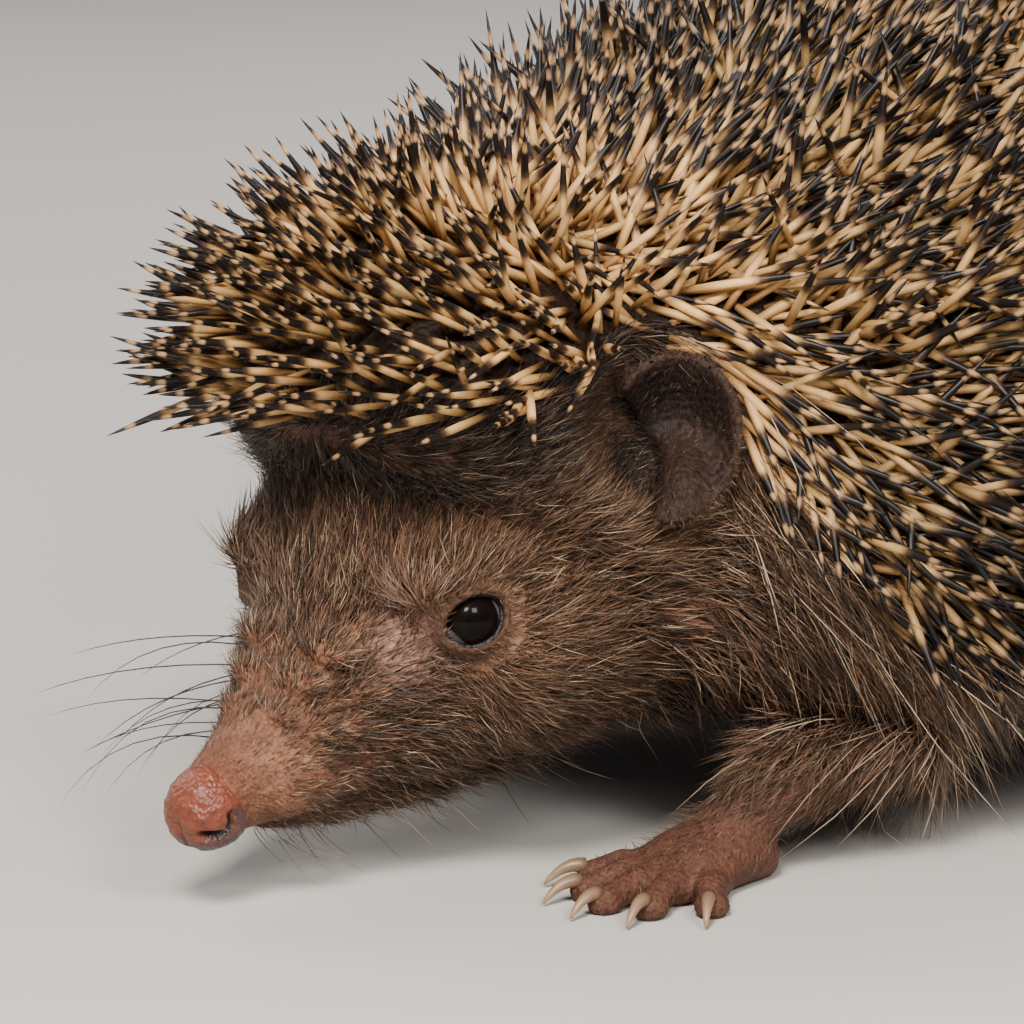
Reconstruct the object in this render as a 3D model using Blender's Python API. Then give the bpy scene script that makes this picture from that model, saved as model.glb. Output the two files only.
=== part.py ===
"""A forest hedgehog, life size, standing low with its nose near the floor.

The solids show the animal out to the tips of its coat: quills over the crown, the shoulders, the barrel
and the rump, fur on the face, the neck and the legs. The nose points along -X, +Y is the animal's right
side and the soles stand on z = 0. All sizes are in millimetres, and MM turns them into metres.
"""

import math

import bmesh
import bpy
from mathutils import Matrix, Vector

MM = 0.001
GAP = 0.3  # clearance between solids that meet

# Driving sizes of the animal.
NOSE_CENTRE = Vector((-101, 0, 9.6))  # middle of the nose pad
HEAD_PITCH = math.radians(20)  # how far the head points down
EYE_RADIUS = 3.1
EYE_PLACE = Vector((25.9, 13.4, 7.9))  # behind, beside and above the nose centre, in the head's own frame
EAR_PLACE = Vector((45.6, 23.4, 17.8))
EAR_HALF_WIDTH = 6.3
EAR_HALF_HEIGHT = 7.9
EAR_DEPTH = 4.8
EAR_THICKNESS = 1.3
EAR_MOUTH = 0.12  # where the ball of the ear is cut open, as a share of its depth
EAR_FACING = Vector((-0.62, 0.76, 0.16))  # way the open side of the right ear faces
EAR_UPRIGHT = Vector((0.22, 0.10, 1.0))
EAR_ROOM_SHIFT = Vector((-1, 2, 0.5))  # room round each ear that the crown and the neck leave free
EAR_ROOM_RADII = (9.5, 9.5, 11)
NOSE_RADII = (4.3, 4.3, 4.5)
NOSE_RISE = 0.4
NOSTRIL_PLACE = Vector((-1.2, 4.0, -1.6))
NOSTRIL_RADII = (1.9, 1.7, 1.0)
TRUNK_FRONT = -34
SHOULDERS_END = 2
BARREL_END = 46
RING_SIDES = 24
LIMB_SIDES = 12
TOE_SIDES = 8
CLAW_SIDES = 6
CREASE = math.radians(50)  # edges sharper than this stay sharp

# Stations of the head along its own axis: distance behind the nose centre, half width, height above the
# axis, depth below the axis, squareness of the section.
SNOUT_STATIONS = (
    (1.6, 4.3, 4.2, 3.6, 2.1),
    (7.0, 5.8, 5.9, 4.4, 2.1),
    (13.5, 8.7, 9.2, 6.2, 2.2),
    (20.0, 12.7, 14.4, 8.2, 2.2),
    (26.0, 17.0, 21.6, 9.8, 2.3),
    (33.0, 20.6, 27.0, 12.0, 2.35),
    (41.0, 21.8, 29.0, 13.8, 2.3),
    (49.0, 21.4, 29.0, 16.6, 2.2),
    (57.0, 20.0, 28.0, 19.0, 2.1),
)
SNOUT_RINGS = 7  # rings of the smoothed head that belong to the snout
STATION_STEPS = 2  # rings laid between one station and the next

# Lower jaw, in the head's frame: distance behind the nose, half width, depth of its middle, half height.
JAW_STATIONS = (
    (5.0, 2.4, 5.0, 1.5),
    (9.0, 3.9, 5.4, 2.6),
    (15.0, 5.8, 5.8, 3.6),
    (22.0, 8.2, 6.8, 4.0),
    (29.0, 10.4, 7.8, 4.2),
    (35.0, 11.0, 9.0, 4.2),
)

# Stations of the coat along the body: distance along X, height of the widest line, half width, height
# above that line, depth below it.
CROWN_STATIONS = (
    (-104, 48, 8, 2.4, 1.6),
    (-98, 49, 14.5, 5.5, 4),
    (-88, 50, 20.5, 10.5, 9),
    (-76, 49, 26.5, 18, 20),
    (-62, 42, 33.5, 30.5, 24),
    (-48, 29, 43.5, 47, 18),
    (TRUNK_FRONT, 24, 50.5, 56, 15.5),
)
TRUNK_STATIONS = (
    (TRUNK_FRONT, 24, 50.5, 56, 15.5),
    (-10, 22, 56, 66, 14),
    (14, 22, 58, 72, 14),
    (38, 22, 57.5, 70, 14),
    (60, 23, 51.5, 60, 14.5),
    (78, 25, 39.5, 44, 14.5),
    (90, 28, 24, 26, 12),
    (96.5, 31, 8, 8, 5),
)
NECK_STATIONS = (
    (-61, 30, 24, 18, 17),
    (-54, 26, 35.5, 34, 15.5),
    (-44, 25, 45.5, 49, 15.5),
    (TRUNK_FRONT, 24, 50.5, 56, 15.5),
)
BODY_SQUARENESS = 2.15
BELLY_SQUARENESS = 2.9
# Side view of the line where the quills end and the fur begins, from above the brow to the flank.
QUILL_EDGE = (
    (-112, 42),
    (-97, 43),
    (-78, 44.5),
    (-71, 49.5),
    (-64, 52.5),
    (-59, 44),
    (-55, 30),
    (-48, 20),
    (TRUNK_FRONT, 16),
)
CUTTER_REACH = 90
UNDERGROUND = -5  # height of the underside of the cutters
SLAB_SIZE = Vector((300, 200, 20))

# Legs: points down the leg, from inside the body to the ankle inside the foot, each with its radius.
FORELEG = ((-39, 30.5, 10.4, 4.0), (-46, 30, 10.0, 4.8), (-54, 28, 8.2, 4.6), (-60, 26, 3.8, 3.2))
HINDLEG = ((45, 33.5, 16, 7.0), (54, 34, 13.5, 7.6), (62, 33.5, 9, 5.6), (64, 32.5, 3.8, 3.4))
# How far each foot stands forward of its leg's drawn place, for a natural step.
STEPS = {"left": 0.0, "right": 9.0}

# Feet: length and half width of the palm, its height, and the toes from the inner to the outer one.
FORE_PALM = (14.5, 5.4, 6.0)
HIND_PALM = (27.0, 5.8, 6.4)
FORE_TOES = ((-36, 4.2), (-17, 6.6), (-1, 7.4), (16, 6.8), (38, 4.4))  # spread in degrees, length
HIND_TOES = ((-30, 4.0), (-15, 6.8), (-1, 7.6), (13, 7.0), (28, 4.6))
# Sections of the palm from the heel forward: distance ahead as a share of the length, then shares of the
# half width and of the height.
PAD_SECTIONS = (
    (-0.02, 0.48, 0.30),
    (0.10, 0.80, 0.44),
    (0.35, 0.94, 0.56),
    (0.72, 1.0, 0.46),
    (1.0, 0.80, 0.30),
)
PAD_SQUARENESS = 2.3
TOE_RADIUS = 1.75
TOE_TIP_RADIUS = 1.0
TOE_ROOT_SHARE = 0.8  # radius where the toe leaves the palm, as a share of the toe's radius
TOE_ROOT_BACK = 3.2  # how far behind the palm's front edge a straight toe is rooted
KNUCKLE_RISE = 0.55
CLAW_LENGTH = 4.6
CLAW_RADII = (0.85, 0.62, 0.22)  # at the base, the middle and the point
CLAW_SAG = 0.12
CLAW_DROP = 0.9
CLAW_CLEARANCE = 0.35  # least height of the middle of a claw's point
HEEL = 5.0  # how far the heel reaches behind the ankle
SOLE_CUT = 0.45  # how much of each pad is pressed flat on the floor

TAIL = ((80, 0, 28, 4.6), (91, 0, 22, 4.0), (99, 0, 15.5, 3.0), (104.4, 0, 10, 1.5))

# Each finish: linear colour and roughness.
FUR_BROWN = ((0.16, 0.10, 0.066), 0.85)
NOSE_PINK = ((0.44, 0.17, 0.12), 0.30)
EAR_BROWN = ((0.075, 0.048, 0.038), 0.75)
EYE_BLACK = ((0.006, 0.005, 0.005), 0.04)
QUILL_TAN = ((0.43, 0.29, 0.155), 0.45)
PAW_PINK = ((0.30, 0.15, 0.125), 0.55)
CLAW_HORN = ((0.36, 0.27, 0.20), 0.35)


def finish(name, colour, roughness):
    """Principled material with one colour and roughness; nothing on the animal is metal."""
    made = bpy.data.materials.new(name)
    made.use_nodes = True
    shader = made.node_tree.nodes["Principled BSDF"]
    shader.inputs["Base Color"].default_value = (*colour, 1)
    shader.inputs["Roughness"].default_value = roughness
    shader.inputs["Metallic"].default_value = 0
    made.diffuse_color = (*colour, 1)
    return made


def smoothed(rows, steps):
    """Rows read off one Catmull-Rom curve through the given rows, `steps` to each stretch."""
    rows = [tuple(float(v) for v in row) for row in rows]
    result = []
    for i in range(len(rows) - 1):
        before, here = rows[max(i - 1, 0)], rows[i]
        there, after = rows[i + 1], rows[min(i + 2, len(rows) - 1)]
        for k in range(steps):
            columns = zip(before, here, there, after)
            result.append(tuple(catmull_rom(*values, k / steps) for values in columns))
    return [*result, rows[-1]]


def catmull_rom(a, b, c, d, t):
    """Value at the share t of the way from b to c on the curve through a, b, c and d."""
    square = 2 * a - 5 * b + 4 * c - d
    cube = 3 * b - a - 3 * c + d
    return 0.5 * (2 * b + (c - a) * t + square * t * t + cube * t**3)


def section(half_width, above, below, power, sides=RING_SIDES, lower_power=None):
    """Superellipse ring of (across, up) points, which may differ below its widest line."""
    ring = []
    for i in range(sides):
        angle = math.tau * i / sides
        c, s = math.cos(angle), math.sin(angle)
        bend = 2 / (power if s > 0 else lower_power or power)
        across = half_width * math.copysign(abs(c) ** bend, c)
        up = (above if s > 0 else below) * math.copysign(abs(s) ** bend, s)
        ring.append((across, up))
    return ring


def solid_of_rings(name, rings, material):
    """Closed mesh object through rings of points in millimetres, with a flat cap on each end."""
    bm = bmesh.new()
    loops = [[bm.verts.new(Vector(point) * MM) for point in ring] for ring in rings]
    for first, second in zip(loops, loops[1:]):
        count = len(first)
        for i in range(count):
            j = (i + 1) % count
            bm.faces.new((first[i], first[j], second[j], second[i]))
    bm.faces.new(reversed(loops[0]))
    bm.faces.new(loops[-1])
    bmesh.ops.recalc_face_normals(bm, faces=bm.faces)
    return object_of(name, bm, material)


def object_of(name, bm, material):
    """Object of a bmesh, smooth on its curved sides and sharp round its caps."""
    mesh = bpy.data.meshes.new(name)
    bm.to_mesh(mesh)
    bm.free()
    mesh.shade_smooth()
    mesh.set_sharp_from_angle(angle=CREASE)
    mesh.materials.append(material)
    made = bpy.data.objects.new(name, mesh)
    bpy.context.collection.objects.link(made)
    return made


def body_solid(name, rows, material):
    """Part of the body along X from rows of (x, middle height, half width, above, below)."""
    rings = []
    for x, middle, half_width, above, below in rows:
        ring = section(half_width, above, below, BODY_SQUARENESS, lower_power=BELLY_SQUARENESS)
        rings.append([(x, across, middle + up) for across, up in ring])
    return solid_of_rings(name, rings, material)


def limb(name, rows, material, sides=LIMB_SIDES):
    """Round limb through (x, y, z, radius) rows, each ring square to the limb's own run."""
    rings = []
    for i, row in enumerate(rows):
        run = Vector(rows[min(i + 1, len(rows) - 1)][:3]) - Vector(rows[max(i - 1, 0)][:3])
        turn = run.to_track_quat("Z", "Y")
        ring = []
        for k in range(sides):
            angle = math.tau * k / sides
            spoke = Vector((row[3] * math.cos(angle), row[3] * math.sin(angle), 0))
            ring.append(Vector(row[:3]) + turn @ spoke)
        rings.append(ring)
    return solid_of_rings(name, rings, material)


def ball(name, centre, radii, material, segments=14, rings=10):
    """Ellipsoid with its centre and radii in millimetres."""
    bm = bmesh.new()
    place = Matrix.Translation(Vector(centre) * MM) @ Matrix.Diagonal((*(Vector(radii) * MM), 1))
    bmesh.ops.create_uvsphere(bm, u_segments=segments, v_segments=rings, radius=1, matrix=place)
    return object_of(name, bm, material)


def as_tool(obj):
    """Marks a cutter, which is neither rendered nor a part of the animal."""
    obj.hide_render = True
    obj.display_type = "WIRE"
    return obj


def combine(obj, other, operation):
    """Boolean of two objects, kept as a modifier."""
    step = obj.modifiers.new(operation.lower() + "_" + other.name, "BOOLEAN")
    step.operation = operation
    step.object = other
    step.solver = "EXACT"
    return obj


def clear_of(obj, *neighbours):
    """Cuts obj back from its neighbours, so that a thin even gap parts them."""
    for neighbour in neighbours:
        swollen = neighbour.copy()
        swollen.name = neighbour.name + "_cutter_for_" + obj.name
        bpy.context.collection.objects.link(swollen)
        grow = swollen.modifiers.new("gap", "DISPLACE")
        grow.strength = GAP * MM
        grow.mid_level = 0
        combine(obj, as_tool(swollen), "DIFFERENCE")
    return obj


def head_frame():
    """Empty at the nose centre whose +X runs back along the head."""
    frame = bpy.data.objects.new("head_frame", None)
    bpy.context.collection.objects.link(frame)
    frame.location = NOSE_CENTRE * MM
    frame.rotation_euler = (0, -HEAD_PITCH, 0)
    return frame


def head_part(obj, frame):
    obj.parent = frame
    return obj


def make_head(frame, fur, bare, ear_skin, eye_gloss):
    """Nose, snout, lower jaw, head, eyes and ears, all in the head's own frame."""
    rows = smoothed(SNOUT_STATIONS, STATION_STEPS)
    rings = []
    for along, half_width, above, below, power in rows:
        ring = section(half_width, above, below, power)
        rings.append([(along, across, up) for across, up in ring])
    split = SNOUT_RINGS
    first_of_head = [(x + GAP, y, z) for x, y, z in rings[split - 1]]
    snout = head_part(solid_of_rings("snout", rings[:split], fur), frame)
    head = head_part(solid_of_rings("head", [first_of_head, *rings[split:]], fur), frame)

    jaw_rings = []
    for along, half_width, depth, half_height in smoothed(JAW_STATIONS, STATION_STEPS):
        ring = section(half_width, half_height, half_height, 2.1, LIMB_SIDES)
        jaw_rings.append([(along, across, up - depth) for across, up in ring])
    jaw = head_part(solid_of_rings("jaw", jaw_rings, fur), frame)

    nose = head_part(ball("nose", (0, 0, NOSE_RISE), NOSE_RADII, bare), frame)
    for side in (-1, 1):
        centre = (NOSTRIL_PLACE.x, side * NOSTRIL_PLACE.y, NOSTRIL_PLACE.z)
        nostril = ball("nostril_cutter", centre, NOSTRIL_RADII, bare, 12, 8)
        combine(nose, as_tool(head_part(nostril, frame)), "DIFFERENCE")
    clear_of(nose, snout, jaw)

    parts = {"snout": snout, "head": head, "jaw": jaw, "nose": nose}
    for side, sign in (("left", -1), ("right", 1)):
        centre = Vector((EYE_PLACE.x, sign * EYE_PLACE.y, EYE_PLACE.z))
        eye = head_part(ball("eye_" + side, centre, (EYE_RADIUS,) * 3, eye_gloss), frame)
        clear_of(head, eye)
        ear = head_part(ear_cup("ear_" + side, sign, ear_skin), frame)
        clear_of(ear, head)
        parts["eye_" + side] = eye
        parts["ear_" + side] = ear
    return parts


def ear_cup(name, sign, material):
    """Open cup of an ear: half an ellipsoid shell that faces forward and outward."""
    bm = bmesh.new()
    bmesh.ops.create_uvsphere(bm, u_segments=18, v_segments=10, radius=1)
    # The sphere's pole becomes the back of the cup, and a little over half of the sphere stays.
    far = [v for v in bm.verts if v.co.z > EAR_MOUTH]
    bmesh.ops.delete(bm, geom=far, context="VERTS")
    shape = Matrix.Diagonal((EAR_HALF_HEIGHT, EAR_HALF_WIDTH, EAR_DEPTH, 1))
    mirror = Vector((1, sign, 1))
    facing = (EAR_FACING * mirror).normalized()
    across = facing.cross(EAR_UPRIGHT * mirror).normalized()
    upright = across.cross(facing).normalized()
    turn = Matrix((upright, across, facing)).transposed().to_4x4()
    place = Matrix.Translation(Vector((EAR_PLACE.x, sign * EAR_PLACE.y, EAR_PLACE.z)) * MM)
    bmesh.ops.transform(bm, verts=bm.verts, matrix=place @ turn @ Matrix.Scale(MM, 4) @ shape)
    bmesh.ops.recalc_face_normals(bm, faces=bm.faces)
    ear = object_of(name, bm, material)
    wall = ear.modifiers.new("ear_wall", "SOLIDIFY")
    wall.thickness = EAR_THICKNESS * MM
    wall.offset = 0
    wall.use_even_offset = True
    return ear


def prism(name, outline, material):
    """Block as wide as the whole animal, cut to a side view outline of (x, z) points."""
    rings = [[(x, y, z) for x, z in outline] for y in (-CUTTER_REACH, CUTTER_REACH)]
    return as_tool(solid_of_rings(name, rings, material))


def make_body(parts, fur, quills):
    """Crown, neck, shoulders, barrel and rump."""
    floor_corners = [(TRUNK_FRONT + 1, UNDERGROUND), (QUILL_EDGE[0][0], UNDERGROUND)]
    edge = [*QUILL_EDGE[:-1], (TRUNK_FRONT + 1, QUILL_EDGE[-1][1])]
    under_quills = prism("under_quills", [*edge, *floor_corners], fur)
    lowered = [(x, z - GAP) for x, z in edge]
    fur_side = prism("fur_side", [*lowered, *floor_corners], fur)

    crown_rows = smoothed(CROWN_STATIONS, STATION_STEPS)
    crown_rows[-1] = (TRUNK_FRONT - GAP, *crown_rows[-1][1:])
    crown = body_solid("crown", crown_rows, quills)
    combine(crown, under_quills, "DIFFERENCE")
    clear_of(crown, parts["head"], parts["snout"])

    neck_rows = smoothed(NECK_STATIONS, STATION_STEPS)
    neck_rows[-1] = (TRUNK_FRONT - GAP, *neck_rows[-1][1:])
    neck = body_solid("neck", neck_rows, fur)
    combine(neck, fur_side, "INTERSECT")
    clear_of(neck, parts["head"])

    for side, sign in (("left", -1), ("right", 1)):
        room_centre = (EAR_PLACE + EAR_ROOM_SHIFT) * Vector((1, sign, 1))
        room = as_tool(ball("ear_room_" + side, room_centre, EAR_ROOM_RADII, fur))
        head_part(room, parts["head"].parent)
        combine(crown, room, "DIFFERENCE")
        combine(neck, room, "DIFFERENCE")

    parts["crown"], parts["neck"] = crown, neck
    rows = smoothed(TRUNK_STATIONS, STATION_STEPS)
    cuts = (TRUNK_FRONT, SHOULDERS_END, BARREL_END, rows[-1][0] + 1)
    for name, low, high in zip(("shoulders", "barrel", "rump"), cuts, cuts[1:]):
        inside = [row for row in rows if low < row[0] < high]
        ends = [row_at(rows, low)]
        if high < rows[-1][0]:
            inside.append(row_at(rows, high))
        inside[-1] = (inside[-1][0] - (GAP if high < rows[-1][0] else 0), *inside[-1][1:])
        parts[name] = body_solid(name, [*ends, *inside], quills)


def row_at(rows, x):
    """The row at a given x, between the two rows on either side of it."""
    for first, second in zip(rows, rows[1:]):
        if first[0] <= x <= second[0]:
            share = (x - first[0]) / (second[0] - first[0])
            return tuple(a + (b - a) * share for a, b in zip(first, second))
    raise ValueError(f"no station holds x = {x}")


def make_foot(name, heel, palm, toes, sign, floor, skin, horn):
    """Foot pressed flat on the floor: a palm with five toes joined to it, and a claw before each toe."""
    length, half_width, height = palm
    x, y = heel
    rings = []
    for ahead, wide, tall in PAD_SECTIONS:
        ring = section(half_width * wide, height * tall, height * tall, PAD_SQUARENESS, LIMB_SIDES)
        middle = height * tall - SOLE_CUT
        rings.append([(x - length * ahead, y + across, middle + up) for across, up in ring])
    foot = solid_of_rings(name, rings, skin)

    toe_objects = []
    for number, (spread, toe_length) in enumerate(toes, 1):
        angle = math.radians(spread)
        ahead = Vector((-math.cos(angle), sign * math.sin(angle), 0))
        beside = sign * half_width * 1.08 * math.sin(angle)
        back = TOE_ROOT_BACK + abs(spread) * 0.045  # the outer toes are rooted further back
        root = Vector((x - length + back, y + beside, TOE_RADIUS - SOLE_CUT))
        knuckle = root + ahead * (2.0 + toe_length * 0.55) + Vector((0, 0, KNUCKLE_RISE))
        tip = root + ahead * (3.0 + toe_length) + Vector((0, 0, -0.1))
        rows = ((*root, TOE_RADIUS * TOE_ROOT_SHARE), (*knuckle, TOE_RADIUS), (*tip, TOE_TIP_RADIUS))
        toe = limb(f"{name}_toe_{number}", rows, skin, TOE_SIDES)
        toe_objects.append(as_tool(toe))
        base = tip + ahead * GAP
        middle = base + ahead * CLAW_LENGTH * 0.5 + Vector((0, 0, -CLAW_SAG))
        point = base + ahead * CLAW_LENGTH + Vector((0, 0, -CLAW_DROP))
        point.z = max(point.z, CLAW_CLEARANCE)
        claw_rows = [(*place, radius) for place, radius in zip((base, middle, point), CLAW_RADII)]
        limb(f"{name}_claw_{number}", claw_rows, horn, CLAW_SIDES)
    for toe in toe_objects:
        combine(foot, toe, "UNION")
    combine(foot, floor, "DIFFERENCE")
    return foot


def make_legs(parts, fur, skin, horn):
    """Four low legs, each standing on its own foot."""
    floor = floor_slab(skin)
    plans = (
        ("fore", FORELEG, FORE_PALM, FORE_TOES, ("neck", "shoulders")),
        ("hind", HINDLEG, HIND_PALM, HIND_TOES, ("barrel", "rump")),
    )
    for pair, rows, palm, toes, carriers in plans:
        for side, sign in (("left", -1), ("right", 1)):
            step = STEPS[side] if pair == "fore" else -STEPS[side]
            placed = [(x + step, sign * y, z, radius) for x, y, z, radius in rows]
            heel = (placed[-1][0] + HEEL, placed[-1][1])
            foot = make_foot(f"{pair}foot_{side}", heel, palm, toes, sign, floor, skin, horn)
            leg = limb(f"{pair}leg_{side}", smoothed(placed, STATION_STEPS), fur)
            clear_of(leg, foot, *(parts[name] for name in carriers))


def floor_slab(material):
    """Block whose flat top is the level the soles are pressed to."""
    bm = bmesh.new()
    centre = Vector((0, 0, -SLAB_SIZE.z / 2)) * MM
    place = Matrix.Translation(centre) @ Matrix.Diagonal((*(SLAB_SIZE * MM), 1))
    bmesh.ops.create_cube(bm, size=1, matrix=place)
    return as_tool(object_of("floor_slab", bm, material))


def main():
    for old in list(bpy.data.objects):
        bpy.data.objects.remove(old)
    fur = finish("brown_fur", *FUR_BROWN)
    bare = finish("nose_skin", *NOSE_PINK)
    ear_skin = finish("ear_skin", *EAR_BROWN)
    eye_gloss = finish("eye", *EYE_BLACK)
    quills = finish("quills", *QUILL_TAN)
    paw = finish("paw_skin", *PAW_PINK)
    horn = finish("claw_horn", *CLAW_HORN)

    frame = head_frame()
    parts = make_head(frame, fur, bare, ear_skin, eye_gloss)
    make_body(parts, fur, quills)
    for name in ("snout", "head"):
        clear_of(parts[name], parts["jaw"])
    make_legs(parts, fur, paw, horn)
    tail = limb("tail", smoothed(TAIL, STATION_STEPS), fur)
    clear_of(tail, parts["rump"])


main()
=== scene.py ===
# %% [markdown]
# # A forest hedgehog, standing low
#
# The animal noses along the floor with its quills raised into a visor over the brow. A hedgehog is built
# here the way it grows: flesh first, then the bare organs (nose, eyes, claws), and then the two coats,
# stiff banded quills on top and soft brown hair below. The imported model gives the places that the rest
# is built round: nose, eyes, ears and claws.
#
# The first cell loads that model as a fixed frame, so that the boxes of its parts can be read.

# %% Load the frame
import math

import bpy
import numpy as np
from mathutils import Matrix, Vector


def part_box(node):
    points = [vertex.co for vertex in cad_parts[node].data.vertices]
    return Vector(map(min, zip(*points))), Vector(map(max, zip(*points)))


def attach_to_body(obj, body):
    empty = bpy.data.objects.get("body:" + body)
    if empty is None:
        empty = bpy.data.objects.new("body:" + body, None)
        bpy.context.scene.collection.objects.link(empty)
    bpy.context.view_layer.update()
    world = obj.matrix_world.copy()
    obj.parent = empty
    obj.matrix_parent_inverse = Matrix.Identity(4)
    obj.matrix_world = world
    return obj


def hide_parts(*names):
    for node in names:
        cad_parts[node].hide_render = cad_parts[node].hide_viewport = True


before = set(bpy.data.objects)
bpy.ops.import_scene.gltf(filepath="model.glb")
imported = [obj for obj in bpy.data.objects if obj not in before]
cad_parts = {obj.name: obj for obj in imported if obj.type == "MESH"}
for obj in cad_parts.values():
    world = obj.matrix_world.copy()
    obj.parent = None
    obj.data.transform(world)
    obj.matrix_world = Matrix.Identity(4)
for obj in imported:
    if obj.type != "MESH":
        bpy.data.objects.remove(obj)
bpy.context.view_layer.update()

MM = 0.001

# %% [markdown]
# ## Places on the animal
#
# Shapes are worked out in millimetres, in numpy arrays with one row for each point, and turned into
# metres when a mesh is made. The head is pitched down, so it gets axes of its own: `s` runs back from the
# nose along the head, `y` across it and `u` up from its axis.

# %% Places read from the frame
SIGNS = {"left": -1.0, "right": 1.0}  # +Y is the animal's right side
HEAD_PITCH = math.radians(20)
NOSE_RADIUS = 4.4
NOSE_DROP = 0.3  # how far the head's axis runs below the middle of the nose
EYE_SHIFT = (-0.8, -0.45, 0.35)  # from the middle of the model's eye to that of the ball in its lids
EYE_PLAY = 0.05
LEAST_LENGTH = 1e-9  # what a direction is divided by at least


def box_mm(node):
    """Lowest and highest corner of a node, in millimetres."""
    low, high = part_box(node)
    return np.array(low) / MM, np.array(high) / MM


def middle_mm(node):
    """Middle of a node's box, in millimetres."""
    low, high = box_mm(node)
    return (low + high) / 2


ALONG = np.array((math.cos(HEAD_PITCH), 0.0, math.sin(HEAD_PITCH)))
HEAD_UP = np.array((-math.sin(HEAD_PITCH), 0.0, math.cos(HEAD_PITCH)))
ACROSS = np.array((0.0, 1.0, 0.0))
HEAD_AXES = np.stack((ALONG, ACROSS, HEAD_UP))
nose_low, nose_high = box_mm("nose")
NOSE = np.array((nose_low[0] + NOSE_RADIUS, 0.0, (nose_low[2] + nose_high[2]) / 2 - NOSE_DROP))


def to_head(points):
    """Columns s, y and u of points given in the frame."""
    away = points - NOSE
    return np.stack((away @ ALONG, away[:, 1], away @ HEAD_UP), axis=1)


def head_vector(s, y, u):
    """A direction given along the head's axes, turned into the frame."""
    return s * ALONG + y * ACROSS + u * HEAD_UP


def unit(vectors):
    """The same directions with length 1."""
    return vectors / np.maximum(np.linalg.norm(vectors, axis=-1, keepdims=True), LEAST_LENGTH)


EYE = middle_mm("eye_right") + EYE_SHIFT
eye_low, eye_high = box_mm("eye_right")
EYE_RADIUS = (eye_high - eye_low)[2] / 2 - EYE_PLAY
EAR = middle_mm("ear_right")
print("nose", NOSE.round(1), "eye", EYE.round(1), "radius", round(EYE_RADIUS, 2), "ear", EAR.round(1))

# %% [markdown]
# ## Flesh as distance functions
#
# Skin has no corners: a leg runs into the belly and a brow into the cheek. Such a surface is easy to
# state as a distance function. Each lump of flesh is a small function that says how far a point lies
# from it, and two lumps are joined by a minimum that is rounded where they meet. The skin is then the
# surface at distance zero. Modelling by hand or with metaballs could do it too, but here each form keeps
# a size that can be read.

# %% Joining and carving
def join(first, second, softness):
    """The nearer of two distances, rounded over the given width."""
    blend = np.clip(0.5 + 0.5 * (second - first) / softness, 0, 1)
    return second + (first - second) * blend - softness * blend * (1 - blend)


def carve(flesh, tool, softness):
    """Flesh with a tool's inside taken away."""
    return -join(-flesh, tool, softness)


def smooth_rows(rows, steps=8):
    """Rows on one Catmull-Rom curve through the given ones."""
    rows = np.array(rows, float)
    padded = np.vstack((rows[:1], rows, rows[-1:]))
    result = []
    for before, here, there, after in zip(padded, padded[1:], padded[2:], padded[3:]):
        for k in range(steps):
            t = k / steps
            result.append(
                here
                + 0.5 * t * (there - before)
                + t * t * (before - 2.5 * here + 2 * there - 0.5 * after)
                + t**3 * (1.5 * (here - there) + 0.5 * (after - before))
            )
    return np.array([*result, rows[-1]])


# %% Three kinds of lump
def loft(rows, upper=2.2, lower=2.2):
    """Body whose rows hold (along, middle height, half width, height above, depth below)."""
    table = smooth_rows(rows)

    def distance(points):
        """Distance to the body; past its ends it grows from the last row."""
        along = np.clip(points[:, 0], table[0, 0], table[-1, 0])
        middle, half, above, below = (np.interp(along, table[:, 0], table[:, i]) for i in range(1, 5))
        rise = points[:, 2] - middle
        tall = np.where(rise > 0, above, below)
        power = np.where(rise > 0, upper, lower)
        side = np.abs(points[:, 1]) / half
        high = np.abs(rise) / tall
        reach = np.maximum((side**power + high**power) ** (1 / power), 1e-3)
        slope = np.hypot((side / reach) ** (power - 1) / half, (high / reach) ** (power - 1) / tall)
        gap = (reach - 1) / slope
        past = np.maximum(table[0, 0] - points[:, 0], points[:, 0] - table[-1, 0])
        return np.where(past > 0, np.hypot(np.maximum(gap, 0), past), gap)

    return distance


def blob(points, centre, radii):
    """Ellipsoid."""
    away = (points - np.array(centre)) / np.array(radii)
    reach = np.linalg.norm(away, axis=1)
    slope = np.maximum(np.linalg.norm(away / np.array(radii), axis=1), 1e-6)
    return reach * (reach - 1) / slope


def limb(points, joints):
    """Chain of round bones through (x, y, z, radius) joints."""
    best = np.full(len(points), 1e3)
    for first, second in zip(joints, joints[1:]):
        a, b = np.array(first[:3]), np.array(second[:3])
        share = np.clip((points - a) @ (b - a) / ((b - a) @ (b - a)), 0, 1)
        away = np.linalg.norm(points - a - share[:, None] * (b - a), axis=1)
        best = np.minimum(best, away - (first[3] + (second[3] - first[3]) * share))
    return best


# %% [markdown]
# ## The head
#
# The head gets the most care. Its main loft is the model's head less the depth of the fur. Bulges for
# brow, cheek, whisker pads and the swollen bridge of the muzzle are joined to it, the lower jaw meets it
# in a shallow mouth line, and each eye gets a socket with a rolled lid. Everything is symmetric, so the
# functions work on the distance from the middle plane and both sides come out alike.

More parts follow.
